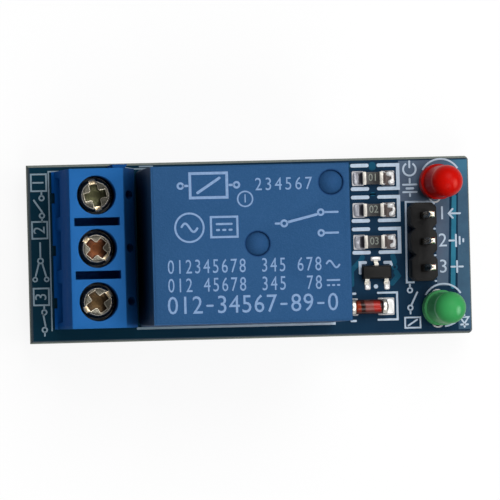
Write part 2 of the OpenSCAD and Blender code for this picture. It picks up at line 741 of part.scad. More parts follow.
pcb();
terminal_housing();
terminal_frame(0);  // terminal_frame_1
terminal_frame(1);  // terminal_frame_2
terminal_frame(2);  // terminal_frame_3
wire_guard(0);  // wire_guard_1
wire_guard(1);  // wire_guard_2
wire_guard(2);  // wire_guard_3
terminal_screw(0);  // terminal_screw_1
terminal_screw(1);  // terminal_screw_2
terminal_screw(2);  // terminal_screw_3
relay_cover();
relay_base();
relay_bobbin();
relay_winding();
relay_core();
relay_yoke();
relay_armature();
relay_contact_spring();
relay_common_pin();
relay_open_contact();
relay_closed_contact();
relay_coil_pins();
resistor(0);  // resistor_1
resistor(1);  // resistor_2
resistor(2);  // resistor_3
transistor_body();
transistor_leads();
diode_glass();
diode_caps();
led_red_lens();
led_red_anode();
led_red_cathode();
led_green_lens();
led_green_anode();
led_green_cathode();
header_base();
header_pin_solid(0);  // header_pin_1
header_pin_solid(1);  // header_pin_2
header_pin_solid(2);  // header_pin_3
solder_terminal();
solder_relay();
solder_header();
solder_leds();
solder_chips();
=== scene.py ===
# %% [markdown]
# # A relay board, from plain solids to finished surfaces
# The board's solids come from a CAD model, and this lesson gives them their looks. The CAD model
# says where everything is, so the first thing to do is to load it, and to note the size of its box.

# %% Load the frame
import json
import math

import bmesh
import bpy
from mathutils import Matrix, Vector, noise

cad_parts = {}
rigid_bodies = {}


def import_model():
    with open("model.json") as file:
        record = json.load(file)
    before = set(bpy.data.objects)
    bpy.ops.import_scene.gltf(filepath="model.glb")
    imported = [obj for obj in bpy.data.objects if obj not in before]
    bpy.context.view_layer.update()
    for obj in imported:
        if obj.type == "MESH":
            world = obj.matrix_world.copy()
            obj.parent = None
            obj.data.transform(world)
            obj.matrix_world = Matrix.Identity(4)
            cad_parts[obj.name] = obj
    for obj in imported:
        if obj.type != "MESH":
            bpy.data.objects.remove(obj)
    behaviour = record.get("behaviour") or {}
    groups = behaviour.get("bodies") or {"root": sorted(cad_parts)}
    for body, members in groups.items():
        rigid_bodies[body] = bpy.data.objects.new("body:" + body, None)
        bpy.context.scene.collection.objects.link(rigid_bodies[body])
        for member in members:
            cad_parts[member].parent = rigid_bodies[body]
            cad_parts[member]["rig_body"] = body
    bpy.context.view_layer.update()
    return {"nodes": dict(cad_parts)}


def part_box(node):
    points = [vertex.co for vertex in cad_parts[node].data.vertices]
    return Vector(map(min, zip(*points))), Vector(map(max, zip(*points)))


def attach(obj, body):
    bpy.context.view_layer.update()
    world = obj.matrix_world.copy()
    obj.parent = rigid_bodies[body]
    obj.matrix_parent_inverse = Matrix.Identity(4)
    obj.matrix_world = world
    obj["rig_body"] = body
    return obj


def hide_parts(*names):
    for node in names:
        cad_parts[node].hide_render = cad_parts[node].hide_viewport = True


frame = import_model()
nodes = frame["nodes"]
MM = 0.001


def box_of(node):
    """The lowest and the highest corner of a CAD node's box, in millimetres."""
    return [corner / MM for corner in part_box(node)]


def middle(node):
    """The middle of a CAD node's box, in millimetres."""
    low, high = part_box(node)
    return (low + high) / 2 / MM


def top(node):
    """The highest point of a CAD node, in millimetres."""
    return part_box(node)[1].z / MM


board_low, board_high = box_of("pcb")
board_top, board_bottom = board_high.z, board_low.z
print("board from", board_low, "to", board_high)

# %% [markdown]
# ## The camera
# A long lens far above the board keeps its sides nearly parallel. The camera stands over the
# middle of the board's upper face and is turned a few degrees, so that a little of the left sides
# of the tall parts shows.

# %% Camera
CAMERA_FAR = 0.55
CAMERA_ASIDE = (-0.00006, -0.00005)
TILT_X, TILT_Y, ROLL = 0.80, -6.04, -1.38
lens_data = bpy.data.cameras.new("camera")
lens_data.lens = 407.5
lens_data.sensor_width = 36
lens_data.clip_start, lens_data.clip_end = 0.01, 20
camera = bpy.data.objects.new("camera", lens_data)
bpy.context.scene.collection.objects.link(camera)
camera.matrix_world = (
    Matrix.Translation((0, 0, board_top * MM))
    @ Matrix.Rotation(math.radians(TILT_X), 4, "X")
    @ Matrix.Rotation(math.radians(TILT_Y), 4, "Y")
    @ Matrix.Rotation(math.radians(ROLL), 4, "Z")
    @ Matrix.Translation((*CAMERA_ASIDE, CAMERA_FAR))
)
bpy.context.scene.camera = camera
print("camera at", camera.matrix_world.translation)

# %% [markdown]
# ## Shader maths as Python
# A pattern is a formula, and a formula reads best as Python. `Shade` wraps one socket of a
# material: `a * b` or `1 - a` on it adds the Math node for that sum. A wave and a soft step are
# the sums that come back most often, so they have names of their own.

# %% Shade
def linear(red, green, blue):
    """A screen colour, 0 to 255 a channel, as the linear numbers that shaders use."""
    def channel(value):
        value /= 255
        return value / 12.92 if value <= 0.04045 else ((value + 0.055) / 1.055) ** 2.4
    return (channel(red), channel(green), channel(blue), 1)


class Shade:
    """One socket of a material, on which Python's own maths adds Math nodes."""

    def __init__(self, finish, socket):
        self.finish, self.socket = finish, socket

    def math(self, operation, *values, clamp=False):
        inputs = dict(enumerate(values))
        return self.finish.node(
            "ShaderNodeMath", {"operation": operation, "use_clamp": clamp}, inputs)

    def __add__(self, other):
        return self.math("ADD", self, other)

    def __sub__(self, other):
        return self.math("SUBTRACT", self, other)

    def __rsub__(self, other):
        return self.math("SUBTRACT", other, self)

    def __mul__(self, other):
        return self.math("MULTIPLY", self, other)

    def __truediv__(self, other):
        return self.math("DIVIDE", self, other)

    __radd__, __rmul__ = __add__, __mul__

    def absolute(self):
        return self.math("ABSOLUTE", self)

    def root(self):
        return self.math("SQRT", self)

    def most(self, other):
        return self.math("MAXIMUM", self, other)

    def least(self, other):
        return self.math("MINIMUM", self, other)

    def wave(self, length):
        """A sine of this value, one wave to each length, between 0 and 1."""
        return self.math("SINE", self * (2 * math.pi / length)) * 0.5 + 0.5

    def step(self, edge, soft):
        """0 below the edge and 1 above it, over a soft width."""
        return self.math("ADD", (self - edge) / soft, 0.5, clamp=True)


print("a screen grey of 128 is", round(linear(128, 128, 128)[0], 3), "to a shader")

# %% [markdown]
# ## A material in the making
# `Finish` holds a material and its Principled shader. Its `node` method adds any node, with its
# settings first and its inputs after, and links an input that is a Shade. The other methods are
# what every finish here is mixed from: places in millimetres, noise, a mix of two colours and a
# relief. All of them read Object coordinates, so a pattern stays where it is on its piece.

# %% Finish
def socket_name(word):
    """A socket's own name from a Python name: specular_ior_level is Specular IOR Level."""
    return word.replace("_", " ").title().replace("Ior", "IOR")


class Finish:
    """A material in the making: one Principled shader and the patterns that feed it."""

    def __init__(self, name, **uniform):
        self.material = bpy.data.materials.new(name)
        self.material.use_nodes = True
        self.tree = self.material.node_tree
        self.shader = self.tree.nodes["Principled BSDF"]
        self.place = self.node("ShaderNodeTexCoord", {}, {}, "Object")
        for socket, value in uniform.items():
            self.shader.inputs[socket_name(socket)].default_value = value

    def node(self, kind, settings, inputs, output=0):
        """Adds a node and hands back one of its outputs."""
        made = self.tree.nodes.new(kind)
        for key, value in settings.items():
            setattr(made, key, value)
        for key, value in inputs.items():
            if isinstance(value, Shade):
                self.tree.links.new(value.socket, made.inputs[key])
            else:
                made.inputs[key].default_value = value
        return Shade(self, made.outputs[output])

    def moved(self, shift, stretch=(1, 1, 1), turn=(0, 0, 0)):
        """Object coordinates in millimetres, counted from a place on the object."""
        centred = self.node("ShaderNodeVectorMath", {"operation": "SUBTRACT"},
                            {0: self.place, 1: [value * MM for value in shift]})
        turned = self.node("ShaderNodeMapping", {}, {"Vector": centred, "Rotation": turn})
        return self.node("ShaderNodeVectorMath", {"operation": "MULTIPLY"},
                         {0: turned, 1: [value / MM for value in stretch]})

    def axes(self, shift=(0, 0, 0), turn=(0, 0, 0)):
        """The three coordinates in millimetres, one Shade each."""
        place = self.moved(shift, turn=turn)
        return [self.node("ShaderNodeSeparateXYZ", {}, {0: place}, axis) for axis in "XYZ"]

    def noise(self, size, detail=2, stretch=(1, 1, 1)):
        """Noise between 0 and 1 with features of a size in millimetres.

        A stretch above 1 packs them closer along that axis, which makes lines across it."""
        return self.node("ShaderNodeTexNoise", {},
                         {"Vector": self.moved((0, 0, 0), stretch), "Scale": 1 / size,
                          "Detail": detail, "Roughness": 0.55})

    def grains(self, size):
        """The distance to the nearest of many scattered points, for pits and grains."""
        return self.node("ShaderNodeTexVoronoi", {},
                         {"Vector": self.moved((0, 0, 0)), "Scale": 1 / size}, "Distance")

    def mix(self, share, first, second):
        """The first colour turning into the second as the share goes from 0 to 1."""
        return self.node("ShaderNodeMix", {"data_type": "RGBA"},
                         {0: share, 6: first, 7: second}, 2)

    def bump(self, height, depth):
        """A relief of a depth in millimetres."""
        return self.node("ShaderNodeBump", {},
                         {"Height": height, "Distance": depth * MM, "Strength": 1.0})

    def wear(self, **varying):
        """Feeds patterns to the shader's sockets, and hands back the material."""
        for socket, value in varying.items():
            self.tree.links.new(value.socket, self.shader.inputs[socket_name(socket)])
        return self.material


print("a finish can be mixed from patterns now")

# %% [markdown]
# ## The studio
# The board stands on the ends of its pins, on a plain table. Rays from the camera, and those
# that metal and glass send back, see the table white. The light that it throws back up is that
# of a grey one, so the sides of tall parts stay dark. The table's own shadow stays in the mix.
# Three wide lamps stand behind the board, beside it and in front of it, so that tall parts shade
# their neighbours softly, and a dim dome fills the shade. Together they light a level surface so
# that its colour comes out about as it is written.

# %% Table, world and lamps
TABLE_LIT, TABLE_SEEN = (0.3, 0.3, 0.3, 1), (0.9, 0.9, 0.9, 1)
GLOW_SHARE = 0.88
LAMPS_AIM = Vector((0, 0, 0.01))


def white_table():
    """White to the rays that see it, and grey to the light that falls on it."""
    finish = Finish("table_white", roughness=0.9)
    glow = finish.node("ShaderNodeEmission", {}, {"Color": (1, 1, 1, 1), "Strength": 1.0})
    rays = finish.tree.nodes.new("ShaderNodeLightPath").outputs
    seen = Shade(finish, rays["Is Camera Ray"])
    for kind in ("Is Glossy Ray", "Is Transmission Ray"):
        seen = seen.most(Shade(finish, rays[kind]))
    finish.wear(base_color=finish.mix(seen, TABLE_LIT, TABLE_SEEN))
    body = finish.node("ShaderNodeMixShader", {}, {
        0: seen * GLOW_SHARE, 1: Shade(finish, finish.shader.outputs[0]), 2: glow})
    out = finish.tree.nodes["Material Output"]
    finish.tree.links.new(body.socket, out.inputs["Surface"])
    return finish.material


def make_table():
    bm = bmesh.new()
    bmesh.ops.create_grid(bm, x_segments=2, y_segments=2, size=1.5)
    mesh = bpy.data.meshes.new("table")
    bm.to_mesh(mesh)
    bm.free()
    table = bpy.data.objects.new("table", mesh)
    table.data.materials.append(white_table())
    bpy.context.scene.collection.objects.link(table)


def make_lamp(name, place, size, watts):
    """A wide round lamp that looks at the board."""
    data = bpy.data.lights.new(name, "AREA")
    data.shape, data.size, data.energy = "DISK", size, watts
    lamp = bpy.data.objects.new(name, data)
    lamp.location = place
    lamp.rotation_euler = (LAMPS_AIM - Vector(place)).to_track_quat("-Z", "Y").to_euler()
    bpy.context.scene.collection.objects.link(lamp)


make_table()
make_lamp("lamp_back", (0.12, 0.34, 0.52), 0.40, 2.1)
make_lamp("lamp_right", (0.36, 0.0, 0.48), 0.36, 1.35)
make_lamp("lamp_front", (0.06, -0.36, 0.50), 0.36, 1.3)
world = bpy.data.worlds.new("studio")
world.use_nodes = True
sky = world.node_tree.nodes["Background"].inputs
sky["Color"].default_value = (1, 1, 1, 1)
sky["Strength"].default_value = 0.2
bpy.context.scene.world = world
bpy.context.scene.view_settings.view_transform = "Standard"
print("a white table, three lamps and a dome of light")

# %% [markdown]
# ## A piece from a solid
# A CAD solid already has the right shape, but its edges are perfectly sharp, and no moulded or
# stamped edge is. `dress` copies a node, merges its loose triangles, joins the flat ones into
# whole faces and rounds the edges. The copy then stands for the node. Where sharp edges suit a
# node, as on the snapped board, `paint` is enough: it keeps the shape and gives it a material.

# %% Make pieces
def add_piece(name, bm, material, body, smooth=32, stands_for=()):
    """Turns a bmesh into an object at the origin that rides on a CAD body."""
    for edge in bm.edges:
        if len(edge.link_faces) == 2:
            edge.smooth = edge.calc_face_angle(0) < math.radians(smooth)
    for face in bm.faces:
        face.smooth = True
    mesh = bpy.data.meshes.new(name)
    bm.to_mesh(mesh)
    bm.free()
    piece = bpy.data.objects.new(name, mesh)
    bpy.context.scene.collection.objects.link(piece)
    piece.data.materials.append(material)
    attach(piece, body)
    if stands_for:
        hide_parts(*stands_for)
    return piece


def solid_of(node):
    """A copy of a CAD node as one closed bmesh with whole faces."""
    bm = bmesh.new()
    bm.from_mesh(nodes[node].data)
    bmesh.ops.remove_doubles(bm, verts=bm.verts[:], dist=1e-7)
    bmesh.ops.dissolve_limit(bm, angle_limit=math.radians(0.6), verts=bm.verts[:],
                             edges=bm.edges[:])
    return bm


def round_edges(bm, radius, sharper_than=25, segments=2):
    """Rounds every edge that turns by more than an angle, and hands back the new faces."""
    edges = [edge for edge in bm.edges if len(edge.link_faces) == 2
             and edge.calc_face_angle(0) > math.radians(sharper_than)]
    return bmesh.ops.bevel(bm, geom=edges, offset=radius * MM, offset_type="OFFSET",
                           affect="EDGES", segments=segments, profile=0.5, material=-1,
                           clamp_overlap=True)["faces"]


def body_of(node):
    """The body of the mechanism that a CAD node belongs to."""
    return nodes[node]["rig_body"]


def dress(node, material, radius, sharper_than=25, segments=2, smooth=32):
    """A copy of a CAD node with rounded edges, which stands for it."""
    bm = solid_of(node)
    round_edges(bm, radius, sharper_than, segments)
    return add_piece(node + "_dressed", bm, material, body_of(node), smooth,
                     stands_for=[node])


def paint(node, material):
    """Gives a CAD node a material and leaves its shape alone."""
    nodes[node].data.materials.clear()
    nodes[node].data.materials.append(material)


print("the nodes are", len(nodes))

# %% [markdown]
# ## A piece from a drawing
# Ink, copper and tin are too thin to be solids of the CAD model. They are drawn flat, in
# millimetres: a ribbon follows a path, an arc is spun from one short edge, and discs and
# rectangles do the rest.

# %% Draw flat shapes
DISC_STEPS = 28


def ribbon(bm, path, width, closed=False):
    """A band of one width along a path, with mitred corners and, unless closed, rounded ends."""
    points = [Vector((x, y, 0)) for x, y in path]
    count = len(points)
    pairs = []
    for i, point in enumerate(points):
        before = points[i - 1] if i or closed else point
        after = points[(i + 1) % count] if i < count - 1 or closed else point
        ways = [way.normalized() for way in (point - before, after - point) if way.length > 1e-9]
        along = sum(ways, Vector()).normalized()
        across = Vector((-along.y, along.x, 0))
        half = width / 2 / max(0.3, along.dot(ways[0]))
        pairs.append([bm.verts.new(point + across * half), bm.verts.new(point - across * half)])
    last = count if closed else count - 1
    for i in range(last):
        (a, b), (c, d) = pairs[i], pairs[(i + 1) % count]
        bm.faces.new((a, b, d, c))
    if not closed:
        bmesh.ops.bevel(bm, geom=pairs[0] + pairs[-1], offset=width * 0.45, affect="VERTICES",
                        offset_type="OFFSET", segments=3, profile=0.5, material=-1)


def arc(bm, centre, radius, width, start=0, turn=360, steps=40):
    """A band round a centre, spun from one short edge."""
    x, y = centre
    ends = [bm.verts.new((x + radius + side * width / 2, y, 0)) for side in (-1, 1)]
    edge = bm.edges.new(ends)
    made = [*ends, edge]
    bmesh.ops.rotate(bm, verts=ends, cent=(x, y, 0),
                     matrix=Matrix.Rotation(math.radians(start), 3, "Z"))
    bmesh.ops.spin(bm, geom=made, cent=(x, y, 0), axis=(0, 0, 1), steps=steps,
                   angle=math.radians(turn), use_merge=turn == 360, dvec=(0, 0, 0))


def disc(bm, centre, radius, hole=0):
    """A round face, or a ring where it has a hole."""
    if hole:
        arc(bm, centre, (radius + hole) / 2, radius - hole, steps=DISC_STEPS)
        return
    bmesh.ops.create_circle(bm, cap_ends=True, segments=DISC_STEPS, radius=radius,
                            matrix=Matrix.Translation((*centre, 0)))


def patch(bm, centre, size_x, size_y, corner=0):
    """A rectangle, with rounded corners where a corner radius is given."""
    made = bmesh.ops.create_grid(
        bm, x_segments=1, y_segments=1, size=0.5,
        matrix=Matrix.Translation((*centre, 0)) @ Matrix.Diagonal((size_x, size_y, 1, 1)))
    if corner:
        bmesh.ops.bevel(bm, geom=made["verts"], offset=corner, affect="VERTICES",
                        offset_type="OFFSET", segments=4, profile=0.5, material=-1)


print("ribbons, arcs, discs and rectangles")

# %% [markdown]
# ## Figures and sheets
# Blender's own font draws the figures: a text is made a mesh, added to the drawing and removed
# again. `sheet_piece` raises a whole drawing by its thickness and lays it on a surface.

# %% Figures and sheets
FONT_SIZE = 1.42


def figures(bm, words, centre, height, turn=0, squeeze=1):
    """Plain figures of a height, drawn by the font that comes with Blender."""
    data = bpy.data.curves.new("figures", "FONT")
    data.body, data.size = words, height * FONT_SIZE
    data.align_x, data.align_y = "CENTER", "CENTER"
    data.resolution_u = 3
    writer = bpy.data.objects.new("figures", data)
    bpy.context.scene.collection.objects.link(writer)
    bpy.context.view_layer.update()
    mesh = bpy.data.meshes.new_from_object(
        writer.evaluated_get(bpy.context.evaluated_depsgraph_get()))
    mesh.transform(Matrix.Translation((*centre, 0)) @ Matrix.Rotation(math.radians(turn), 4, "Z")
                   @ Matrix.Diagonal((squeeze, 1, 1, 1)))
    bm.from_mesh(mesh)
    bpy.data.objects.remove(writer)
    bpy.data.curves.remove(data)
    bpy.data.meshes.remove(mesh)


def sheet_piece(name, draw, z, thickness, material, shift=(0, 0)):
    """Raises a flat drawing by its thickness, lays it at a height and fixes it to the board.

    A negative thickness hangs it below a surface."""
    bm = bmesh.new()
    draw(bm)
    bmesh.ops.remove_doubles(bm, verts=bm.verts[:], dist=1e-5)
    raised = bmesh.ops.extrude_face_region(bm, geom=bm.faces[:])
    bmesh.ops.translate(bm, vec=(0, 0, thickness),
                        verts=[v for v in raised["geom"] if isinstance(v, bmesh.types.BMVert)])
    bmesh.ops.recalc_face_normals(bm, faces=bm.faces[:])
    bmesh.ops.translate(bm, vec=(*shift, z), verts=bm.verts[:])
    bmesh.ops.scale(bm, vec=(MM, MM, MM), verts=bm.verts[:])
    return add_piece(name, bm, material, "board")


print("figures and sheets")

# %% [markdown]
# ## The circuit board
# The board is green-brown glass and epoxy. Both faces carry a dark blue, glossy solder mask. The
# mask lies thin and lighter over copper and dark over bare board. Along the edges the score that
# the board was snapped at leaves a dull, fibrous strip, so the material asks how far each point is
# from the board's edge. The two short ends were cut clean, and their strip is only a thin line.

# %% Board
SCORE = 0.21
SCORE_FRONT = 0.14
END_STRIP = 0.08
MASK_GLOSS = 0.12


def board_finish():
    finish = Finish("board_mask", specular_ior_level=MASK_GLOSS)
    x, y, z = finish.axes()
    inside = (board_high.x - x.absolute() + (SCORE - END_STRIP)).least(
        board_high.y - y).least(y - board_low.y + (SCORE - SCORE_FRONT))
    edge = 1 - inside.step(SCORE, 0.06)
    weave = (x.wave(0.42) * y.wave(0.42)) * 0.5 + finish.noise(3.5, 3) * 0.5
    layers = z.wave(0.2) * 0.3 + finish.noise(0.25, 4, (1, 1, 0.3)) * 0.7
    end = (x + finish.noise(5, 2) * 6).step(2, 24)
    mask = finish.mix(finish.noise(6, 3), finish.mix(end, linear(0, 38, 54), linear(4, 34, 57)),
                      finish.mix(end, linear(8, 50, 68), linear(22, 52, 76)))
    glass = finish.mix(layers, linear(84, 92, 88), linear(150, 158, 150))
    return finish.wear(
        base_color=finish.mix(edge, mask, glass),
        roughness=edge * 0.4 + finish.noise(1.6, 3) * 0.10 + 0.18,
        normal=finish.bump(weave * (1 - edge) + layers * edge * 4, 0.01))


paint("pcb", board_finish())
print("board painted")

# %% [markdown]
# ## Copper under the mask
# Where copper lies under the mask, the mask stands a hair higher and looks lighter. Here the pour
# round the header and the tracks are bands of that thickness.

# %% Copper areas and tracks
COPPER = 0.035


def over_copper(finish, tone):
    """The gloss and the relief that the mask has over all copper."""
    return finish.wear(base_color=tone, roughness=finish.noise(1.1, 3) * 0.12 + 0.2,
                       normal=finish.bump(finish.noise(0.35, 3), 0.006))


def track_finish(name, colour, lighter):
    finish = Finish(name, specular_ior_level=MASK_GLOSS)
    return over_copper(finish, finish.mix(finish.noise(1.6, 4), colour, lighter))


def copper_pour_finish():
    """Greyish by the header, and more teal towards the board's end and its upper corner. Its
    lightness is partly the copper under the mask and partly painted reflection of the glossy mask.
    """
    finish = Finish("mask_over_pour", specular_ior_level=MASK_GLOSS)
    x, y = finish.axes()[:2]
    cloud = finish.noise(1.6, 4)
    outer = finish.mix(cloud, linear(50, 70, 92), linear(66, 102, 126))
    outer = finish.mix(y.step(6.4, 2.4), outer, linear(60, 108, 134))
    # Partly painted reflection: the grey by the header stands for the glare off the glossy mask.
    tone = finish.mix(cloud, linear(72, 78, 98), linear(86, 108, 128))
    return over_copper(finish, finish.mix(x.step(19.6, 1.8), tone, outer))


pour_finish = copper_pour_finish()
teal_finish = track_finish("mask_over_track", linear(30, 96, 124), linear(52, 124, 148))
deep_finish = track_finish("mask_over_deep_track", linear(6, 58, 84), linear(26, 86, 112))


def area(bm, corners):
    """One flat area between its corners."""
    bm.faces.new([bm.verts.new((x, y, 0)) for x, y in corners])


def pour_areas(bm):
    """The pour at the header end, in two areas with a track in the gap between them."""
    area(bm, [(14.65, 4.34), (18.2, 4.34), (18.2, -4.0), (19.28, -4.0), (19.64, 5.2),
              (19.8, 5.2), (19.8, 8.3), (14.65, 8.3)])
    area(bm, [(20.2, -8.25), (21.42, -8.25), (21.42, 8.3), (19.8, 8.3), (19.8, 5.2), (20.48, 5.2),
              (20.2, -4.0)])


def bright_tracks(bm):
    ribbon(bm, [(20.08, 4.9), (19.74, -4.3)], 0.46)


def deep_tracks(bm):
    ribbon(bm, [(12.1, 8.25), (12.1, 7.4)], 0.7)
    ribbon(bm, [(12.1, 5.3), (12.1, 4.9)], 0.6)
    ribbon(bm, [(11.0, -0.8), (10.8, -1.3), (9.8, -2.3), (9.8, -3.9)], 0.5)
    ribbon(bm, [(13.85, -0.75), (14.05, -1.5), (14.05, -1.8)], 0.5)
    arc(bm, (14.05, -2.05), 0.22, 0.18, steps=20)
    ribbon(bm, [(14.05, -2.35), (14.4, -2.9), (13.6, -3.8)], 0.5)
    ribbon(bm, [(8.9, 7.9), (11.1, 7.9)], 0.3)


print("copper drawn")

# %% [markdown]
# ## Lay the copper
# The pour, the bright tracks and the deep tracks are three sheets. Where a track crosses the pour
# it is a little thicker, so the two never share a surface.

# %% Lay the copper
for name, draw, thickness, material in (
        ("copper_pour", pour_areas, COPPER, pour_finish),
        ("copper_tracks_bright", bright_tracks, COPPER * 1.4, teal_finish),
        ("copper_tracks_deep", deep_tracks, COPPER, deep_finish)):
    sheet_piece(name, draw, board_top, thickness, material)
print("copper laid")

# %% [markdown]
# ## Solder and tin
# A pad is bare copper that was dipped in tin. Solder is smooth and bright where it flowed and
# a little grey where it cooled last. Both are one metal here, with a fine uneven relief.

# %% Tin and solder
TIN = 0.045


def tin_finish(name, light, dark, rough):
    finish = Finish(name, metallic=0.6)
    cloud = finish.noise(0.5, 4)
    return finish.wear(base_color=finish.mix(cloud, light, dark),
                       roughness=finish.noise(0.25, 3) * 0.25 + rough,
                       normal=finish.bump(finish.noise(0.3, 2) + cloud, 0.012))


solder_finish = tin_finish("bright_solder", (0.82, 0.82, 0.80, 1), (0.52, 0.52, 0.50, 1), 0.16)
pad_finish = tin_finish("tinned_pad", (0.55, 0.55, 0.56, 1), (0.34, 0.34, 0.36, 1), 0.3)
print("bright solder and greyer pads")

# %% [markdown]
# ## Pads
# Chips are soldered onto rectangular pads, and each pin goes through a ring. Both follow the
# CAD nodes. A relay contact is one solid with its pin and reaches far to one side, so the rings
# of the contacts and the coil are counted from the outer rims of the relay's solder instead.

# %% Pads
resistors = ["resistor_1", "resistor_2", "resistor_3"]
chip = middle("transistor_body")
diode = middle("diode_glass")
lamps = {"red": middle("led_red_lens"), "green": middle("led_green_lens")}
common_pin, coil_pins = middle("relay_common_pin"), middle("relay_coil_pins")
cones_low, cones_high = box_of("solder_relay")
RIM_X, RIM_Y = 0.99, 0.84
CONTACT_X = cones_low.x + RIM_X
LAMP_X = board_high.x - 3.34
LAMP_LEAD_HALF = 0.225


def lead_x(side):
    """The middle of one of the transistor's two lower leads."""
    return chip.x + side * 0.95 + 0.1


def chip_pads(bm):
    for node in resistors:
        place = middle(node)
        for shift, length in ((-1.43, 1.16), (1.5, 1.3)):
            patch(bm, (place.x + shift, place.y), length, 1.42, 0.1)
    for side in (-1, 1):
        patch(bm, (diode.x + side * 1.78, diode.y), 1.6, 1.68, 0.08)
        patch(bm, (lead_x(side), chip.y - 1.26), 0.54, 0.9, 0.16)
    patch(bm, (chip.x, chip.y + 1.3), 0.95, 0.4, 0.08)


def ring_pads(bm):
    """A tin ring round each pin, with a hole where the pin goes through."""
    for place, hole, outer in through:
        disc(bm, place, outer, hole)


def pin_places():
    """Where the pins go through the board: the place, the hole's radius and the ring's."""
    places = [(middle(f"terminal_frame_{i}").xy, 0.72, 1.25) for i in (1, 2, 3)]
    places += [(middle(f"header_pin_{i}").xy, 0.6, 0.9) for i in (1, 2, 3)]
    ring = 1.05
    half = (cones_high.y - cones_low.y) / 2 - RIM_Y
    places += [(common_pin.xy, 0.68, ring)]
    places += [((coil_pins.x, coil_pins.y + side * half), 0.58, ring) for side in (-1, 1)]
    places += [((CONTACT_X, coil_pins.y + side * half), 0.68, ring) for side in (-1, 1)]
    for colour in lamps:
        for end in ("anode", "cathode"):
            low, high = box_of(f"led_{colour}_{end}")
            outer = high.y - LAMP_LEAD_HALF if end == "anode" else low.y + LAMP_LEAD_HALF
            places.append(((low.x + LAMP_LEAD_HALF, outer), 0.46, 0.62))
    return places


through = pin_places()
sheet_piece("pads_chips", chip_pads, board_top, TIN, pad_finish)
sheet_piece("pads_top", ring_pads, board_top, TIN * 1.2, pad_finish)
print("pads:", len(through))

# %% [markdown]
# ## White ink
# White ink is screened onto the mask: outlines of the parts, and signs beside them. The ink is
# a thin raised layer, worn in spots and a little greyer towards the terminals.

# %% Ink
INK = 0.022


def ink_finish(name, colour, worn, rough=0.5, thin=None):
    """Ink with worn spots. Where a thin colour is given, it lies thinner towards the block."""
    finish = Finish(name)
    tone = finish.mix(finish.noise(0.3, 4), worn, colour)
    if thin:
        x = finish.axes()[0]
        tone = finish.mix((x + finish.noise(2, 2) * 3).step(0, 16), thin, tone)
    return finish.wear(base_color=tone,
                       roughness=finish.noise(0.5, 2) * 0.15 + rough,
                       normal=finish.bump(finish.noise(0.12, 2), 0.006))


silk_finish = ink_finish("white_ink", linear(192, 207, 224), linear(150, 168, 186),
                         thin=linear(128, 150, 164))
print("the ink lies", INK, "mm thick")

# %% [markdown]
# ## Outlines
# Each part has its outline on the board, so that it is fitted where it belongs. Most of an
# outline lies under its part, and only the stretches beside the parts are drawn.

# %% Outlines
def outlines(bm):
    """The outlines round the block, the relay, the header and the lamps."""
    ribbon(bm, [(-19.52, -7.45), (-19.52, 8.0), (-12.5, 8.0)], 0.13)
    ribbon(bm, [(-11.3, -7.4), (8.02, -7.4), (8.02, -7.05)], 0.22)
    ribbon(bm, [(-12.3, 8.28), (-11.3, 8.08), (-9.4, 8.08), (-9.4, 8.3), (-10.7, 8.3)], 0.14)
    ribbon(bm, [(16.0, -3.58), (15.21, -3.58), (15.3, 4.27), (17.92, 4.23), (18.15, 4.0)], 0.18)
    for y in (1.6, -1.0, -3.5):
        ribbon(bm, [(17.95, y), (18.2, y)], 0.18)
    for place in lamps.values():
        arc(bm, (LAMP_X + 0.53, place.y + 0.3), 1.99, 0.17, 32, 120, 20)
    arc(bm, (LAMP_X + 0.4, lamps["green"].y + 0.3), 2.16, 0.17, 275, 50, 12)


def brackets(bm):
    """The brackets round the resistors, the diode and the transistor."""
    for node in resistors:
        place = middle(node)
        x, y = place.x, place.y + 0.12
        for side in (-1, 1):
            ribbon(bm, [(x - 2.15, y + side * 1.14), (x - 0.35, y + side * 1.14)], 0.36)
        ribbon(bm, [(x + 0.42, y + 1.14), (x + 2.5, y + 1.14), (x + 2.5, y - 1.14),
                    (x + 0.42, y - 1.14)], 0.34)
    x, y = chip.x - 0.12, chip.y
    ribbon(bm, [(x - 0.75, y + 0.95), (x - 1.42, y + 0.95), (x - 1.42, y - 0.2)], 0.3)
    ribbon(bm, [(x + 0.85, y + 0.92), (x + 1.55, y + 0.92), (x + 1.68, y + 0.55)], 0.3)
    disc(bm, (x + 0.07, y - 1.39), 0.21)
    ribbon(bm, [(12.25, -4.52), (14.22, -4.52), (14.22, -7.14), (12.25, -7.14)], 0.2)
    for y in (-4.55, -7.2):
        ribbon(bm, [(9.6, y), (10.22, y)], 0.22)


print("outlines beside", len(resistors), "resistors and", len(lamps), "lamps")

# %% [markdown]
# ## Signs by the terminals and the lamps
# Beside the parts stand plain figures and circuit symbols. Contacts and boxes come back more than
# once, so each has a function, and the rest is ribbons and arcs.

# %% Signs by the terminals and the lamps
def contact_sign(bm, x, y, lean):
    """Two contact points and the blade between them, drawn along Y."""
    for side in (-1, 1):
        arc(bm, (x, y + side * 0.85), 0.23, 0.15, steps=16)
        ribbon(bm, [(x, y + side * 1.08), (x, y + side * 1.5)], 0.16)
    ribbon(bm, [(x + 0.1, y - 0.6), (x + lean, y + 0.72)], 0.17)


def box_sign(bm, x, y, width, height, line):
    """The outline of a box."""
    ribbon(bm, [(x - width / 2, y - height / 2), (x + width / 2, y - height / 2),
                (x + width / 2, y + height / 2), (x - width / 2, y + height / 2)], line,
           closed=True)


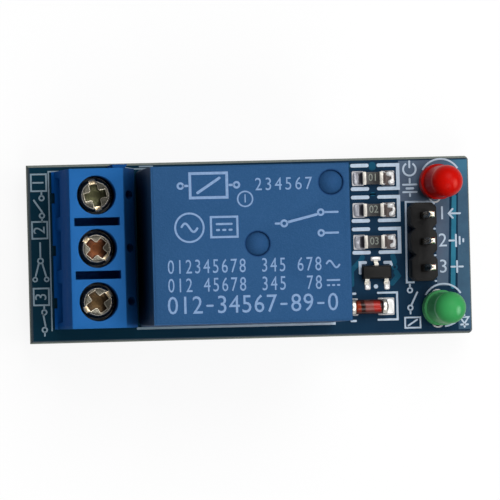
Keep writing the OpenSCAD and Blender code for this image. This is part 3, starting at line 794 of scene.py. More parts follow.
def terminal_signs(bm):
    """Beside each pole: its figure, and an open, a common and a closed contact."""
    x = -20.48
    for figure, y in (("1", 6.95), ("2", 2.35), ("3", -4.1)):
        box_sign(bm, x, y, 1.48, 1.62, 0.16)
        figures(bm, figure, (x, y), 1.12, 90)
    contact_sign(bm, x + 0.25, 4.6, -0.8)
    contact_sign(bm, x + 0.25, -6.45, -0.12)
    ribbon(bm, [(x, 1.2), (x, -0.35)], 0.16)
    arc(bm, (x, -0.62), 0.25, 0.15, steps=16)
    for side in (-1, 1):
        ribbon(bm, [(x + side * 0.16, -0.85), (x + side * 0.52, -2.15)], 0.16)
        arc(bm, (x + side * 0.56, -2.42), 0.2, 0.14, steps=16)


def lamp_signs(bm):
    """A mains switch sign and a cell by the red lamp, a switch and a coil by the green one."""
    x, y = 15.75, 7.45
    arc(bm, (x, y), 0.62, 0.18, 120, 300, 26)
    ribbon(bm, [(x, y + 0.86), (x, y + 0.1)], 0.18)
    ribbon(bm, [(x, 6.6), (x, 6.05)], 0.18)
    ribbon(bm, [(x - 0.75, 5.95), (x + 0.75, 5.95)], 0.18)
    ribbon(bm, [(x - 0.42, 5.58), (x + 0.42, 5.58)], 0.22)
    ribbon(bm, [(x - 0.75, 5.22), (x + 0.75, 5.22)], 0.18)
    ribbon(bm, [(x, 5.12), (x, 4.75)], 0.18)
    x = 15.7
    contact_sign(bm, x - 0.2, -5.2, 0.75)
    box_sign(bm, x, -7.5, 1.5, 1.0, 0.16)
    ribbon(bm, [(x - 0.5, -7.82), (x + 0.5, -7.18)], 0.16)


print("signs for three terminals and", len(lamps), "lamps")

# %% [markdown]
# ## Signs by the pins
# Each pin has its figure and its sign: an arrow for the signal, ground and plus. All the white
# drawings then become one sheet. It stands a little higher than the copper that it crosses, so
# the two never share a surface.

# %% Signs by the pins
def pin_signs(bm):
    """The signs of the three pins, and a diode sign in the corner by the green lamp."""
    for figure, y in (("1", 3.05), ("2", 0.4), ("3", -2.15)):
        figures(bm, figure, (18.85, y), 1.3)
    x, y = 20.0, 3.05
    ribbon(bm, [(x + 0.7, y), (x - 0.35, y)], 0.18)
    ribbon(bm, [(x - 0.05, y + 0.5), (x - 0.5, y), (x - 0.05, y - 0.5)], 0.18)
    x, y = 20.15, 0.4
    ribbon(bm, [(x - 0.75, y), (x - 0.1, y)], 0.18)
    for i, half in enumerate((0.65, 0.42, 0.2)):
        ribbon(bm, [(x + 0.36 * i, y - half), (x + 0.36 * i, y + half)], 0.18)
    x, y = 20.2, -2.15
    ribbon(bm, [(x - 0.65, y), (x - 0.12, y)], 0.18)
    ribbon(bm, [(x + 0.12, y), (x + 0.65, y)], 0.18)
    ribbon(bm, [(x, y - 0.62), (x, y + 0.62)], 0.18)
    x, y = 20.78, -7.45
    ribbon(bm, [(x, y + 0.68), (x, y + 0.36)], 0.18)
    ribbon(bm, [(x - 0.42, y + 0.36), (x + 0.42, y + 0.36), (x, y - 0.26), (x - 0.42, y + 0.36)],
           0.15)
    ribbon(bm, [(x - 0.42, y - 0.36), (x + 0.42, y - 0.36)], 0.18)
    ribbon(bm, [(x, y - 0.36), (x, y - 0.68)], 0.18)


def white_marks(bm):
    for draw in (outlines, brackets, terminal_signs, lamp_signs, pin_signs):
        draw(bm)


sheet_piece("white_marks", white_marks, board_top, COPPER * 1.5 + INK, silk_finish)
print("white marks drawn")

# %% [markdown]
# ## The terminal block
# The block is moulded in dull blue nylon: it has next to no gloss, its colour drifts a little
# where the melt flowed, and its edges are rounded. Painted shade darkens the colour with depth,
# in the wells and the wire spaces. The long slopes before and behind the crest carry painted
# shade too, so they are darker than the crest.

# %% Terminal block
NYLON = linear(31, 92, 155)
NYLON_PALE = linear(42, 103, 167)
# The next three colours are painted shade: with depth, on the front slope and on the back slope.
NYLON_DEPTH_SHADE = linear(20, 70, 136)
NYLON_FRONT_SHADE = linear(0, 74, 150)
NYLON_BACK_SHADE = linear(0, 26, 60)
block = middle("terminal_housing")
BLOCK_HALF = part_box("terminal_housing")[1].y / MM - block.y
CREST_FRONT, CREST_BACK = -18.25 - block.x, -13.05 - block.x
WELL_R, WELL_FLARE = 1.78, 0.09


def nylon_finish():
    finish = Finish("blue_nylon", specular_ior_level=0.01)
    height = finish.axes((0, 0, top("terminal_housing")))[2]
    flow = finish.noise(4, 3, (1, 1, 2.5))
    fine = finish.noise(0.09, 2)
    # Painted shade: the colour darkens with depth below the top.
    deep = 1 - height.step(-1.6, 2.4)
    tone = finish.mix(flow, NYLON, NYLON_PALE)
    tone = finish.mix(deep * 0.55, tone, NYLON_DEPTH_SHADE)
    x, y = finish.axes(block)[:2]
    across = 1 - y.absolute().step(BLOCK_HALF - 0.25, 0.2)
    # Painted shade on the front and back slopes, which stay darker than the crest.
    tone = finish.mix((1 - x.step(CREST_FRONT, 0.2)) * across * 0.75, tone, NYLON_FRONT_SHADE)
    tone = finish.mix(x.step(CREST_BACK, 0.2) * across * 0.55, tone, NYLON_BACK_SHADE)
    return finish.wear(base_color=tone, roughness=flow * 0.1 + fine * 0.1 + 0.45,
                       normal=finish.bump(fine * 0.6 + finish.noise(0.5, 2) * 0.8, 0.012))


def make_block():
    """The housing, with wells a hair wider than the CAD bores, as draft leaves them."""
    bm = solid_of("terminal_housing")
    for i in (1, 2, 3):
        screw = middle(f"terminal_screw_{i}")
        for vert in bm.verts:
            out = Vector((vert.co.x / MM - screw.x, vert.co.y / MM - screw.y, 0))
            if abs(out.length - WELL_R) < 0.02:
                vert.co += out.normalized() * WELL_FLARE * MM
    round_edges(bm, 0.09)
    return add_piece("terminal_housing_dressed", bm, nylon_finish(),
                     body_of("terminal_housing"), stands_for=["terminal_housing"])


block_piece = make_block()
print("block dressed,", len(block_piece.data.polygons), "faces")

# %% [markdown]
# ## Metal strip
# The clamp frames, the wire guards and the pins are stamped from strip. Rolling leaves fine lines
# along the strip, and handling leaves faint stains.

# %% Metal strip
def strip_finish(name, light, dark, rough, line=(1, 1, 14)):
    """Rolled metal. Its lines run across the axis that has the largest number."""
    finish = Finish(name, metallic=1.0)
    lines = finish.noise(0.35, 3, line)
    stain = finish.noise(1.4, 4)
    return finish.wear(
        base_color=finish.mix(stain.step(0.62, 0.3) * 0.3 + lines * 0.35, light, dark),
        roughness=lines * 0.18 + stain * 0.1 + rough,
        normal=finish.bump(lines, 0.006))


brass = strip_finish("tinned_brass", (0.78, 0.76, 0.70, 1), (0.50, 0.46, 0.38, 1), 0.24)
spring_steel = strip_finish("spring_steel", (0.72, 0.73, 0.74, 1), (0.45, 0.45, 0.44, 1), 0.2,
                            (12, 1, 1))
for i in (1, 2, 3):
    dress(f"terminal_frame_{i}", brass, 0.06)
    dress(f"wire_guard_{i}", spring_steel, 0.03)
paint("relay_coil_pins", brass)
paint("transistor_leads", brass)
print("strip metal done")

# %% [markdown]
# ## Clamp screws
# A zinc-plated screw with a slot and a cross in its head. Old flux and rust have browned the
# recess, most of all on the middle screw. The slot's two ends are painted bright, a painted
# highlight, and the plating is painted darker towards the head's edge, as painted shade, so the
# material asks how deep a point lies and how far it is from the screw's axis. The rounded edges
# at the top of the head have a second material: polished by the driver, and brightened further
# as a painted highlight.

# %% Screw finish
SCREW_STAINS = [(linear(92, 92, 62), linear(46, 46, 30)),
                (linear(128, 72, 34), linear(60, 30, 16)),
                (linear(98, 74, 42), linear(50, 36, 20))]


def screw_finish(i):
    """Each screw has its own axis, and its own share of rust."""
    node = f"terminal_screw_{i}"
    screw = middle(node)
    finish = Finish(f"plated_screw_{i}", metallic=0.85)
    x, y, z = finish.axes((screw.x, screw.y, top(node)))
    out = (x * x + y * y).root()
    rust = finish.noise(0.55, 5)
    spot = finish.noise(0.22, 4)
    down = z * -1 + rust * 0.08
    recess = down.step(0.72, 0.16)
    # Painted highlight: the slot's two ends are bright.
    slot_end_highlight = down.step(0.4, 0.1) * out.step(1.02, 0.1) * (1 - down.step(0.7, 0.1))
    dirty = finish.mix(rust.most(out.step(0.55, 0.9)), *SCREW_STAINS[i - 1])
    # Painted shade: the plating darkens towards the head's edge, next to the well's wall.
    plated = finish.mix(spot.most(out.step(1.25, 0.7)), linear(122, 118, 106), linear(46, 44, 38))
    bright = finish.mix(spot, linear(244, 228, 196), linear(212, 184, 140))
    tone = finish.mix((recess * 0.95).most(spot.step(0.66, 0.2) * 0.5), plated, dirty)
    return finish.wear(base_color=finish.mix(slot_end_highlight, tone, bright),
                       roughness=rust * 0.2 + recess * 0.12 + 0.18,
                       normal=finish.bump(rust * 0.6 + spot * 0.6, 0.03))


# The head's top edges: polished by the driver, and brightened further as a painted highlight.
polished_and_highlit = tin_finish("polished_edge", linear(250, 240, 220), linear(190, 176, 150), 0.12)
print("stains for", len(SCREW_STAINS), "screws")

# %% [markdown]
# ## Heads and threads
# The head comes from the CAD solid, cut off at its underside. The shank is a real thread: a ridge
# section swept round the axis while it climbs, which is what spin does when it is given a shift
# for each step. The ridge's foot lies a little inside the core.

# %% Heads and threads
SHANK_R = 1.22
ROOT_R = SHANK_R - 0.26
FOOT_R = ROOT_R - 0.06
CREST_HALF = 0.04
THREAD_PITCH = 0.45
TURN_STEPS = 20
HEAD_H = 1.3


def thread(bm, axis, low, high):
    """A closed helical ridge: its section, swept round the axis while it climbs."""
    turns = int((high - low) / THREAD_PITCH)
    half = THREAD_PITCH * 0.46
    section = [bm.verts.new((axis.x + r, axis.y, low + dz))
               for r, dz in ((FOOT_R, -half), (SHANK_R, -CREST_HALF), (SHANK_R, CREST_HALF),
                             (FOOT_R, half))]
    face = bm.faces.new(section)
    bmesh.ops.spin(bm, geom=[face, *face.edges, *face.verts], cent=(axis.x, axis.y, 0),
                   axis=(0, 0, 1), angle=math.tau * turns, steps=TURN_STEPS * turns,
                   dvec=(0, 0, THREAD_PITCH / TURN_STEPS), use_merge=False)


def make_screw(i, material):
    """The head comes from the CAD solid, and the shank below it is made new."""
    node = f"terminal_screw_{i}"
    low, high = box_of(node)
    axis = (low + high) / 2
    cut = high.z - HEAD_H + 0.02
    bm = solid_of(node)
    made = bmesh.ops.bisect_plane(bm, geom=bm.verts[:] + bm.edges[:] + bm.faces[:],
                                  plane_co=(0, 0, cut * MM), plane_no=(0, 0, -1),
                                  clear_outer=True)
    bmesh.ops.holes_fill(bm, edges=[e for e in made["geom_cut"]
                                    if isinstance(e, bmesh.types.BMEdge)])
    for face in round_edges(bm, 0.07, 30):
        if face.calc_center_median().z / MM > high.z - 0.2:
            face.material_index = 1
    bmesh.ops.scale(bm, vec=(1 / MM,) * 3, verts=bm.verts[:])
    core_h = cut + 0.1 - low.z
    bmesh.ops.create_cone(bm, cap_ends=True, segments=40, radius1=ROOT_R * 0.86,
                          radius2=ROOT_R, depth=core_h,
                          matrix=Matrix.Translation((axis.x, axis.y, low.z + core_h / 2)))
    thread(bm, axis, low.z + 0.3, cut)
    bmesh.ops.recalc_face_normals(bm, faces=bm.faces[:])
    bmesh.ops.scale(bm, vec=(MM,) * 3, verts=bm.verts[:])
    screw = add_piece(f"clamp_screw_{i}", bm, material, body_of(node), 38,
                      stands_for=[node])
    screw.data.materials.append(polished_and_highlit)
    return screw


for i in (1, 2, 3):
    screw = make_screw(i, screw_finish(i))
    print(screw.name, len(screw.data.polygons), "faces")

# %% [markdown]
# ## The relay's cover
# The cover is a thin moulded box. Its mould was spark-eroded, which gives a fine, even, matt
# texture, and two round ejector marks lie sunk in its top. Ink marks are printed on it. Painted
# shade darkens its sides with depth, most of all on the side next to the block, and round the
# rims and on the floors of the marks.

# %% Relay cover
relay = middle("relay_cover")
COVER_BLUE = linear(35, 74, 115)
COVER_PALE = linear(44, 83, 125)
MARK_R = 1.175
MARK_PLACES = [(relay.x + 7.65, relay.y + 5.66), (relay.x + 0.55, relay.y)]


def cover_finish():
    finish = Finish("matt_blue_cover", specular_ior_level=0.05)
    x, y, z = finish.axes((0, 0, top("relay_cover")))
    speck = finish.noise(0.11, 2)
    pits = finish.grains(0.22)
    cloud = finish.noise(5, 3)
    tone = finish.mix(cloud, COVER_BLUE, COVER_PALE)
    tone = finish.mix(speck.step(0.6, 0.3) * 0.22, tone, linear(66, 104, 150))
    on_top = z.step(-0.3, 0.05)
    # Painted shade: the sides darken with depth below the top, and most on the side next to the
    # block.
    shade_with_depth = 1 - z.step(-1.4, 2.4)
    shade_beside_block = 1 - x.step(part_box("relay_cover")[0].x / MM + 0.2, 0.2)
    tone = finish.mix(shade_with_depth * 0.35, tone, linear(14, 44, 84))
    tone = finish.mix((shade_beside_block * z.absolute().step(0.5, 0.8)) * 0.62, tone,
                      linear(2, 18, 34))
    # Painted shade round the rim and on the floor of each sunk mark.
    for mark_x, mark_y in MARK_PLACES:
        out = ((x - mark_x) * (x - mark_x) + (y - mark_y) * (y - mark_y)).root()
        rim = (1 - (out - MARK_R).absolute().step(0.09, 0.1)) * 0.75
        mark_floor_shade = (1 - out.step(MARK_R, 0.06)) * 0.2
        tone = finish.mix(rim.most(mark_floor_shade) * on_top, tone, linear(20, 54, 100))
    return finish.wear(base_color=tone, roughness=speck * 0.15 + cloud * 0.06 + 0.5,
                       normal=finish.bump(speck + pits * 0.5, 0.02))


PRINT_INK = 0.012
cover = dress("relay_cover", cover_finish(), 0.13)
for vert in cover.data.vertices:
    if vert.co.z / MM > top("relay_cover") - 0.2:
        vert.co.z -= PRINT_INK * MM
print("cover dressed, its top", PRINT_INK, "mm lower to make room for the ink")

# %% [markdown]
# ## What is printed on the cover
# Such a cover carries plain signs: the coil, the changeover contact with its points, the signs
# for alternating and direct current, and rows of plain figures. All of it is one thin layer of
# pale ink.

# %% Signs for the cover
def wave_sign(bm, x, y, width, line):
    """One wave of alternating current."""
    steps = 14
    ribbon(bm, [(x + width * (i / steps - 0.5),
                 y + width / 4 * math.sin(math.tau * i / steps))
                for i in range(steps + 1)], line)


def direct_sign(bm, x, y, width, line):
    """A long bar over three short ones."""
    ribbon(bm, [(x - width / 2, y + line * 1.4), (x + width / 2, y + line * 1.4)], line)
    for i in (-1, 0, 1):
        ribbon(bm, [(x + width * (i * 0.37 - 0.12), y - line * 1.4),
                    (x + width * (i * 0.37 + 0.12), y - line * 1.4)], line)


def coil_sign(bm, x, y):
    """A box with a slash, between two points."""
    box_sign(bm, x, y, 3.5, 2.3, 0.26)
    for side in (-1, 1):
        ribbon(bm, [(x + side * 1.9, y), (x + side * 2.4, y)], 0.22)
        arc(bm, (x + side * 2.66, y), 0.26, 0.2, steps=20)
    ribbon(bm, [(x - 1.15, y - 0.75), (x + 1.15, y + 0.75)], 0.26)


def changeover_sign(bm, x, y):
    """The common point, its blade, and the two contact points it moves between."""
    arc(bm, (x - 2.3, y), 0.28, 0.2, steps=20)
    ribbon(bm, [(x - 3.2, y), (x - 2.62, y)], 0.2)
    ribbon(bm, [(x - 2.0, y + 0.1), (x + 0.9, y + 0.8)], 0.24)
    for side in (-1, 1):
        arc(bm, (x + 1.2, y + side * 0.98), 0.26, 0.2, steps=20)
        ribbon(bm, [(x + 1.52, y + side * 0.98), (x + 2.9, y + side * 0.98)], 0.2)


print("five signs, with the box from the board")

# %% [markdown]
# ## Print the cover
# A row of figures is set one figure at a time, at one distance, as a printing plate has them. The
# two ratings are rows of the same form, so one loop sets both.

# %% Relay print
def figure_row(bm, words, x, y, step, height, squeeze):
    """Figures at one distance from each other. A dash is a short bar."""
    for i, figure in enumerate(words):
        if figure == "-":
            ribbon(bm, [(x + step * (i - 0.3), y), (x + step * (i + 0.3), y)], 0.2)
        else:
            figures(bm, figure, (x + i * step, y), height, squeeze=squeeze)


def relay_print(bm):
    """All that is printed on the cover, counted from the middle of its top."""
    coil_sign(bm, -4.0, 5.6)
    disc(bm, (-0.55, 4.25), 0.78, 0.64)
    figures(bm, "1", (-0.55, 4.25), 0.8)
    figure_row(bm, "234567", 0.75, 5.55, 0.95, 1.2, 0.85)
    arc(bm, (-5.9, 1.65), 1.35, 0.18, steps=40)
    wave_sign(bm, -5.9, 1.65, 1.6, 0.2)
    box_sign(bm, -2.6, 1.65, 2.5, 1.9, 0.2)
    direct_sign(bm, -2.6, 1.65, 1.6, 0.2)
    changeover_sign(bm, 5.4, 1.85)
    step = 0.85
    for y, sign, first, last in ((-2.1, wave_sign, "345678", "678"),
                                 (-3.85, direct_sign, "45678", "78")):
        for words, x in (("012", -7.75), (first, -7.75 + step * (9 - len(first))),
                         ("345", 1.15), (last, 4.55 + step * (3 - len(last)))):
            figure_row(bm, words, x, y, step, 1.32, 0.72)
        sign(bm, 7.65, y, 1.3, 0.17)
    figure_row(bm, "012-34567-89-0", -7.65, -5.75, 1.17, 1.68, 0.92)


print_finish = ink_finish("pale_print", linear(138, 166, 204), linear(92, 126, 170), 0.6)
sheet_piece("relay_print", relay_print, top("relay_cover") - PRINT_INK, PRINT_INK, print_finish,
            shift=(relay.x, relay.y))
print("relay printed")

# %% [markdown]
# ## Inside the relay
# Nothing of the mechanism shows while the cover is on, but a cover can be taken off. The coil is
# wound from varnished copper wire, so its finish is a fine relief of turns. The iron is plated,
# and the contacts, their spring and the common pin are copper alloy.

# %% Relay mechanism
def wire_finish():
    finish = Finish("varnished_wire", metallic=0.7, coat_weight=0.6, coat_roughness=0.1)
    layer = finish.axes()[2].wave(0.14)
    tone = finish.mix(finish.noise(1.2, 3), linear(186, 96, 52), linear(134, 58, 30))
    return finish.wear(base_color=finish.mix(layer * 0.5, tone, linear(92, 38, 20)),
                       roughness=layer * 0.15 + 0.22, normal=finish.bump(layer, 0.05))


def moulded_finish(name, colour, paler, rough, relief=0.012, grain=0.16):
    finish = Finish(name, specular_ior_level=0.2)
    fine = finish.noise(grain, 3)
    cloud = finish.noise(3, 3)
    return finish.wear(base_color=finish.mix(cloud * 0.6 + fine * 0.4, colour, paler),
                       roughness=fine * 0.16 + rough, normal=finish.bump(fine, relief))


iron = strip_finish("plated_iron", (0.60, 0.61, 0.62, 1), (0.38, 0.38, 0.38, 1), 0.28, (1, 12, 1))
copper = strip_finish("contact_copper", (0.80, 0.50, 0.30, 1), (0.56, 0.32, 0.18, 1), 0.22,
                      (12, 1, 1))
ivory = moulded_finish("ivory_spool", linear(222, 216, 200), linear(232, 228, 216), 0.42)
base_black = moulded_finish("black_base", linear(26, 29, 34), linear(40, 43, 50), 0.4)
dress("relay_base", base_black, 0.08)
dress("relay_bobbin", ivory, 0.08)
paint("relay_winding", wire_finish())
for node in ("relay_core", "relay_yoke", "relay_armature"):
    dress(node, iron, 0.06)
for node in ("relay_contact_spring", "relay_common_pin", "relay_open_contact",
             "relay_closed_contact"):
    dress(node, copper, 0.03)
print("mechanism done")

# %% [markdown]
# ## Chips
# A chip resistor is a grey-black body under lacquer with a figure on it, between two tinned end
# caps. The solid is one piece, so the material tells body and cap apart by the distance from the
# chip's middle. The transistor is a black moulding with rounded edges and three tinned leads.

# %% Chips
def resistor_finish(node):
    finish = Finish(node + "_chip", ior=1.5)
    cap = finish.axes(middle(node))[0].absolute().step(0.66, 0.03)
    cloud = finish.noise(0.3, 4)
    fine = finish.noise(0.08, 3)
    black = finish.mix(fine, linear(20, 20, 21), linear(36, 35, 35))
    tin = finish.mix(cloud, linear(214, 210, 202), linear(168, 164, 156))
    return finish.wear(base_color=finish.mix(cap, black, tin), metallic=cap * 0.5,
                       roughness=cloud * 0.12 + fine * 0.1 + 0.24,
                       normal=finish.bump(fine + cloud * cap * 2, 0.012))


chip_black = moulded_finish("chip_moulding", linear(10, 10, 9), linear(27, 26, 24), 0.45,
                            0.01, 0.08)
code_ink = ink_finish("grey_code", linear(140, 146, 136), linear(96, 102, 94))
for node in resistors:
    dress(node, resistor_finish(node), 0.04)
dress("transistor_body", chip_black, 0.05)


def chip_codes(bm):
    for node, words in zip(resistors, ("01", "02", "03")):
        place = middle(node)
        figures(bm, words, (place.x, place.y + 0.05), 0.72, squeeze=0.9)


sheet_piece("chip_codes", chip_codes, top("resistor_1") - 0.03, 0.012, code_ink)
print("chips done")

# %% [markdown]
# ## The glass diode
# Red-brown glass holds the chip between two copper studs, which show through as lighter ends. A
# black band marks one end. The end caps are tinned. The glass is painted darker towards its long
# sides, as painted shade on its round body.

# %% Diode
def diode_finish():
    finish = Finish("diode_glass", coat_weight=0.05, coat_roughness=0.15, specular_ior_level=0.2)
    x, y = finish.axes(diode)[:2]
    along = x + finish.noise(0.5, 3) * 0.2 - 0.1 + y * 0.12
    tone = finish.mix(along.step(-0.84, 0.14), linear(140, 46, 22), linear(34, 14, 10))
    tone = finish.mix(along.step(-0.42, 0.16), tone, linear(132, 66, 60))
    tone = finish.mix(along.step(0.42, 0.14), tone, linear(170, 34, 26))
    tone = finish.mix(along.step(1.08, 0.1), tone, linear(34, 18, 14))
    # Painted shade: the glass darkens away from its middle line, towards its long sides.
    side = y.absolute().step(0.42, 0.36)
    return finish.wear(base_color=finish.mix(side * 0.9, tone, linear(46, 12, 10)),
                       roughness=finish.noise(0.5, 3) * 0.1 + 0.16,
                       normal=finish.bump(finish.noise(0.6, 2), 0.015))


dress("diode_glass", diode_finish(), 0.15, segments=3)
dress("diode_caps", brass, 0.1, segments=3)
print("diode done")

# %% [markdown]
# ## Solder cones
# The CAD cones and wedges stand where the solder is. Under the board every joint is a cone round
# its pin, and wide rounding is enough for it.

# %% Solder cones
for node in ("solder_terminal", "solder_relay", "solder_header", "solder_leds"):
    cones = dress(node, solder_finish, 0.1, sharper_than=12, smooth=70)
    print(node, "has", len(cones.data.polygons), "faces")

# %% [markdown]
# ## Solder pools
# On the pads the solder climbs the part's end, hollows out and thickens again at the pad's rim,
# where it cooled last. A grid over each pad is lifted by a formula for that section, with a little
# noise. In the formulas u runs from 0 at the part to 1 at the far rim, and v from -1 to 1 across.

# %% Solder pools
POOL_STEPS = 18


def smooth_step(edge, soft, value):
    t = min(1, max(0, (value - edge) / soft + 0.5))
    return t * t * (3 - 2 * t)


def raised_rim(u, v):
    """The solder's edge, in the form of a C that opens towards the part."""
    bar = smooth_step(0.42, 0.16, u)
    arms = smooth_step(0.66, 0.2, abs(v)) * smooth_step(0.24, 0.16, u)
    return max(bar, arms)


def two_drops(u, v):
    """The solder drawn into two drops at the outer corners."""
    high = max(0, 1 - ((u - 0.62) / 0.42) ** 2 - ((v - 0.6) / 0.4) ** 2)
    low = max(0, 1 - ((u - 0.72) / 0.32) ** 2 - ((v + 0.6) / 0.42) ** 2)
    neck = max(0, 1 - ((u - 0.86) / 0.2) ** 2 - (v / 0.7) ** 2) * 0.5
    return math.sqrt(max(high, low, neck))


def solder_pool(bm, start, way, length, width, climb, rim, form, seed):
    """A grid on the pad gets a flat copy below it, and then its own height at each point."""
    turn = Matrix.Rotation(math.atan2(way[1], way[0]), 4, "Z")
    made = bmesh.ops.create_grid(bm, x_segments=POOL_STEPS, y_segments=POOL_STEPS, size=0.5)
    faces = list({face for vert in made["verts"] for face in vert.link_faces})
    raised = bmesh.ops.extrude_face_region(bm, geom=faces)
    upper = [v for v in raised["geom"] if isinstance(v, bmesh.types.BMVert)]
    for vert in upper:
        u, v = vert.co.x + 0.5, vert.co.y * 2
        uneven = 0.8 + 0.7 * noise.noise(Vector((u * 2.6, v * 1.7, seed)))
        foot = max(0, 1 - u / 0.4) ** 2
        edge = math.sqrt(max(0, min(1, (1 - abs(v)) / 0.18, (1 - u) / 0.14)))
        vert.co.z = 0.015 + edge * (climb * foot + rim * form(u, v) * uneven)
    verts = made["verts"] + upper
    for vert in verts:
        u, v = vert.co.x + 0.5, vert.co.y * 2
        round_off = 1 - 0.16 * u ** 4 * abs(v) ** 3
        vert.co = Vector((u * length * round_off, v * width / 2 * round_off, vert.co.z))
    bmesh.ops.transform(bm, verts=verts,
                        matrix=Matrix.Translation((*start, board_top + TIN)) @ turn)


print("a pool is a grid of", POOL_STEPS, "by", POOL_STEPS)

# %% [markdown]
# ## Painted shade on the solder
# The hollows beside the resistors are painted dark as painted shade, browner on the right, and
# an arc of painted shadow lies round the diode's end. The joints on the resistors' left ends are
# painted greyer, as painted shade. All of it is a colour of the solder. The three resistors stand
# in a row, and a ping-pong of Y folds them into one.

# %% Painted shade and joints
chip_half = (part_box("resistor_1")[1].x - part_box("resistor_1")[0].x) / 2 / MM
diode_low, diode_high = box_of("diode_caps")
TUCK = 0.02


def shaded_solder_finish():
    """Tin with painted shade where it lies low by the resistors and on their left ends,
    and painted shadow in an arc by the diode.
    """
    finish = Finish("solder_painted_shade", metallic=0.3)
    first = middle("resistor_1")
    step = first.y - middle("resistor_2").y
    x, y, z = finish.axes((first.x, first.y, board_top + TIN))
    row = y.math("PINGPONG", y, step / 2)
    cloud = finish.noise(0.4, 4)
    out = x.absolute() + cloud * 0.2
    # Painted shade beside the resistor ends and where the solder lies low.
    near = (1 - out.step(chip_half + 0.5, 0.1)) * (1 - row.step(0.56, 0.14))
    low = (1 - z.step(0.1, 0.05)) * x.step(chip_half, 0.1)
    shade_mask = near.most(low) * y.step(-first.y - 0.6, 0.1)
    # Painted shadow: an arc round the diode's end.
    end_x, end_y = x - (diode.x + 1.3 - first.x), y - (diode.y - first.y)
    ring = (end_x * end_x + end_y * end_y).root()
    shade_mask = shade_mask.most((1 - (ring - 0.66).absolute().step(0.07, 0.06)) * end_x.step(0.2, 0.2))
    # Painted shade: the joints on the resistors' left ends are greyer.
    left_shade = (1 - x.step(-chip_half, 0.2)) * y.step(-first.y - 0.6, 0.1)
    tin = finish.mix(cloud, (1.0, 1.0, 0.99, 1), (0.78, 0.78, 0.77, 1))
    tin = finish.mix(left_shade, tin, finish.mix(cloud, (0.36, 0.37, 0.40, 1), (0.18, 0.18, 0.21, 1)))
    brown = finish.mix(x.step(0, 0.1), linear(28, 26, 34), linear(52, 30, 24))
    return finish.wear(base_color=finish.mix(shade_mask * 0.94, tin, brown),
                       roughness=cloud * 0.2 + shade_mask * 0.15 + 0.22,
                       normal=finish.bump(cloud, 0.01))


def chip_joints():
    """A pool at each end of the resistors and of the diode, and one on each transistor lead.

    Each pool starts a hair inside its part, so that no gap shows."""
    bm = bmesh.new()
    for i, node in enumerate(resistors):
        x, y = middle(node).xy
        solder_pool(bm, (x - chip_half + TUCK, y), (-1, 0), 0.97, 1.34, 0.3, 0.1, raised_rim, i)
        solder_pool(bm, (x + chip_half - TUCK, y), (1, 0), 1.24, 1.4, 0.35, 0.26, two_drops,
                    i * 3.1 + 9)
    for side, end in ((-1, diode_low.x), (1, diode_high.x)):
        solder_pool(bm, (end - side * TUCK, diode.y), (side, 0), 0.85, 1.5, 0.4, 0.08,
                    raised_rim, side)
    solder_pool(bm, (chip.x, chip.y + 1.22), (0, 1), 0.28, 0.85, 0.14, 0.06, raised_rim, 5)
    for side in (-1, 1):
        solder_pool(bm, (lead_x(side), chip.y - 1.2), (0, -1), 0.46, 0.44, 0.12, 0.09,
                    raised_rim, 7 + side)
    bmesh.ops.recalc_face_normals(bm, faces=bm.faces[:])
    bmesh.ops.scale(bm, vec=(MM,) * 3, verts=bm.verts[:])
    return add_piece("solder_pools", bm, shaded_solder_finish(), "board", 80,
                     stands_for=["solder_chips"])


pools = chip_joints()
print("solder done,", len(pools.data.polygons), "faces in the pools")

# %% [markdown]
# ## Lamps
# A lamp is one casting of tinted epoxy round two tinned leads: a flange with one flat, a barrel and
# a round crown. It is turned from its outline, so spin makes it, and then it leans a little, as
# hand-fitted lamps do. The epoxy scatters the light. The material paints light on it: a pale bow
# where the lens gathers the light, a pale patch of painted highlight near the crown, and a paler
# lower part that lifts the shade there.

# %% Lamps
LAMP_R, FLANGE_R, FLANGE_H, LAMP_H = 1.55, 1.75, 1.0, 5.3
LAMP_STAND = 0.6
LAMP_LEAN = 8.3
LAMP_Y = {colour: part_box(f"led_{colour}_lens")[1].y / MM - FLANGE_R + shift
          for colour, shift in (("red", 0.12), ("green", 0.03))}


def epoxy_finish(colour, body, painted_lift, glint):
    """Painted light: a pale bow towards the relay, where the lens gathers the light.

    A pale patch near the crown is a painted highlight. Towards the leads the colour is painted
    paler, which lifts the shade there."""
    finish = Finish(f"{colour}_epoxy", specular_ior_level=0.06)
    x, y, z = finish.axes((LAMP_X, LAMP_Y[colour], board_top + LAMP_STAND),
                          (0, -math.radians(LAMP_LEAN), 0))
    cloud = finish.noise(0.9, 3)
    # Painted light: the lower part is paler, which lifts its shade.
    low = 1 - z.step(2.6, 3.2)
    # Painted light: a pale bow towards the relay, where the lens gathers the light.
    painted_bow = (1 - (z - 3.75).absolute().step(0.16, 0.28)) * (x * -1 + y * 0.2).step(1.1, 0.5)
    # Painted highlight: a pale patch near the crown.
    patch_out = ((x - 0.45) * (x - 0.45) * 3 + (y + 0.3) * (y + 0.3)).root()
    soft = (1 - patch_out.step(0.35, 0.4)) * z.step(3, 0.5)
    tone = finish.mix(low * 0.8 + cloud * 0.15, body, painted_lift)
    tone = finish.mix(painted_bow * 0.7 + soft * 0.45, tone, glint)
    return finish.wear(base_color=tone, roughness=cloud * 0.1 + 0.3,
                       normal=finish.bump(finish.noise(0.6, 2), 0.01))


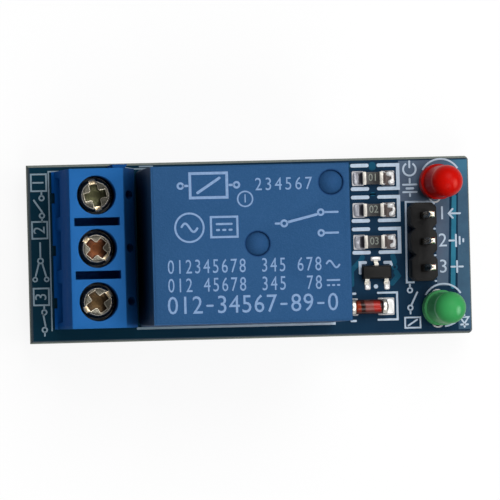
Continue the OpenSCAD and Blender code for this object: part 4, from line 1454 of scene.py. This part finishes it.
def make_lens(colour, material):
    """Spins the outline, flattens the flange on the cathode side and leans the casting."""
    bm = bmesh.new()
    crown = LAMP_H - LAMP_R
    outline = [(0, 0), (FLANGE_R - 0.06, 0), (FLANGE_R, 0.06), (FLANGE_R, FLANGE_H - 0.12),
               (FLANGE_R - 0.12, FLANGE_H), (LAMP_R + 0.08, FLANGE_H), (LAMP_R, FLANGE_H + 0.08)]
    outline += [(LAMP_R * math.cos(math.radians(a)), crown + LAMP_R * math.sin(math.radians(a)))
                for a in range(0, 91, 6)]
    verts = [bm.verts.new((r, 0, z)) for r, z in outline]
    edges = [bm.edges.new(pair) for pair in zip(verts, verts[1:])]
    bmesh.ops.spin(bm, geom=verts + edges, cent=(0, 0, 0), axis=(0, 0, 1), steps=72,
                   angle=math.tau, use_merge=True, dvec=(0, 0, 0))
    bmesh.ops.remove_doubles(bm, verts=bm.verts[:], dist=1e-4)
    for vert in bm.verts:
        if vert.co.z <= FLANGE_H:
            vert.co.y = max(vert.co.y, 0.08 - FLANGE_R)
    bmesh.ops.recalc_face_normals(bm, faces=bm.faces[:])
    bmesh.ops.rotate(bm, verts=bm.verts[:], cent=(0, 0, 0),
                     matrix=Matrix.Rotation(math.radians(LAMP_LEAN), 3, "Y"))
    bmesh.ops.translate(bm, verts=bm.verts[:],
                        vec=(LAMP_X, LAMP_Y[colour], board_top + LAMP_STAND))
    bmesh.ops.scale(bm, vec=(MM,) * 3, verts=bm.verts[:])
    return add_piece(f"lamp_{colour}", bm, material, "board", 40,
                     stands_for=[f"led_{colour}_lens"])


red = epoxy_finish("red", linear(190, 12, 4), linear(172, 20, 16), linear(222, 88, 78))
green = epoxy_finish("green", linear(56, 152, 84), linear(72, 150, 92), linear(150, 214, 168))
for colour, material in (("red", red), ("green", green)):
    make_lens(colour, material)
    for end in ("anode", "cathode"):
        dress(f"led_{colour}_{end}", brass, 0.04)
print("lamps done")

# %% [markdown]
# ## The header
# Three eight-sided segments of black glass-filled plastic hold three square pins. The plastic is
# dull, with a faint grain from the glass. The pins are flashed with thin gold. Their sides are
# painted dark, as painted shade, and their tips bright, as a painted highlight.

# %% Header
def pin_finish():
    finish = Finish("gilt_pin", metallic=1.0)
    height = finish.axes((0, 0, top("header_pin_1")))[2]
    lines = finish.noise(0.2, 3, (1, 1, 10))
    spot = finish.noise(0.4, 4)
    # Painted shade: the sides are dark. Painted highlight: the tips are bright.
    side = finish.mix(spot, linear(96, 80, 48), linear(52, 40, 24))
    tone = finish.mix((height + spot * 0.1).step(-0.3, 0.12), side, linear(255, 244, 222))
    return finish.wear(base_color=tone, roughness=lines * 0.15 + 0.16,
                       normal=finish.bump(lines, 0.006))


header_black = moulded_finish("black_header", linear(15, 15, 15), linear(28, 27, 27), 0.5,
                              0.014, 0.12)
dress("header_base", header_black, 0.08)
gilt = pin_finish()
for i in (1, 2, 3):
    dress(f"header_pin_{i}", gilt, 0.04)
print("header done")

# %% [markdown]
# ## Under the board
# The underside has wide tracks from the relay's contacts to the terminals, and thin ones between
# the header, the driver and the lamps. Each pin has its ring and its cone of solder.

# %% Underside
WIDE_TRACK = 1.9


def under_wide(bm):
    """The wide tracks of the switched contacts."""
    first, second, third = (middle(f"terminal_frame_{i}") for i in (1, 2, 3))
    for pole, y in ((first, cones_high.y - RIM_Y), (third, cones_low.y + RIM_Y)):
        ribbon(bm, [(pole.x + 1.1, pole.y), (CONTACT_X - 2.4, pole.y), (CONTACT_X - 0.9, y)],
               WIDE_TRACK)
    ribbon(bm, [(second.x + 1.1, second.y), (common_pin.x - 1.0, common_pin.y)], WIDE_TRACK)


def under_thin(bm):
    """The thin tracks of the driver side."""
    pins = [middle(f"header_pin_{i}") for i in (1, 2, 3)]
    ribbon(bm, [(pins[0].x - 0.9, pins[0].y), (13.4, pins[0].y), (12.0, 4.6), (7.0, 4.6)], 0.5)
    ribbon(bm, [(pins[2].x - 0.9, pins[2].y), (13.0, pins[2].y), (10.2, -5.0),
                (coil_pins.x + 1.0, -5.4)], 0.7)
    ribbon(bm, [(pins[1].x - 0.9, pins[1].y), (12.4, pins[1].y)], 0.9)
    for side in (1, -1):
        ribbon(bm, [(LAMP_X, relay.y + side * 4.1), (LAMP_X, relay.y + side * 3.2),
                    (pins[0].x + 1.2, relay.y + side * 2.7)], 0.45)


under_finish = track_finish("mask_over_under_tracks", linear(30, 74, 104), linear(42, 90, 120))
sheet_piece("under_tracks_wide", under_wide, board_bottom, -COPPER, under_finish)
sheet_piece("under_tracks_thin", under_thin, board_bottom, -COPPER, under_finish)
sheet_piece("pads_under", ring_pads, board_bottom, -TIN * 1.2, pad_finish)
print("underside done")
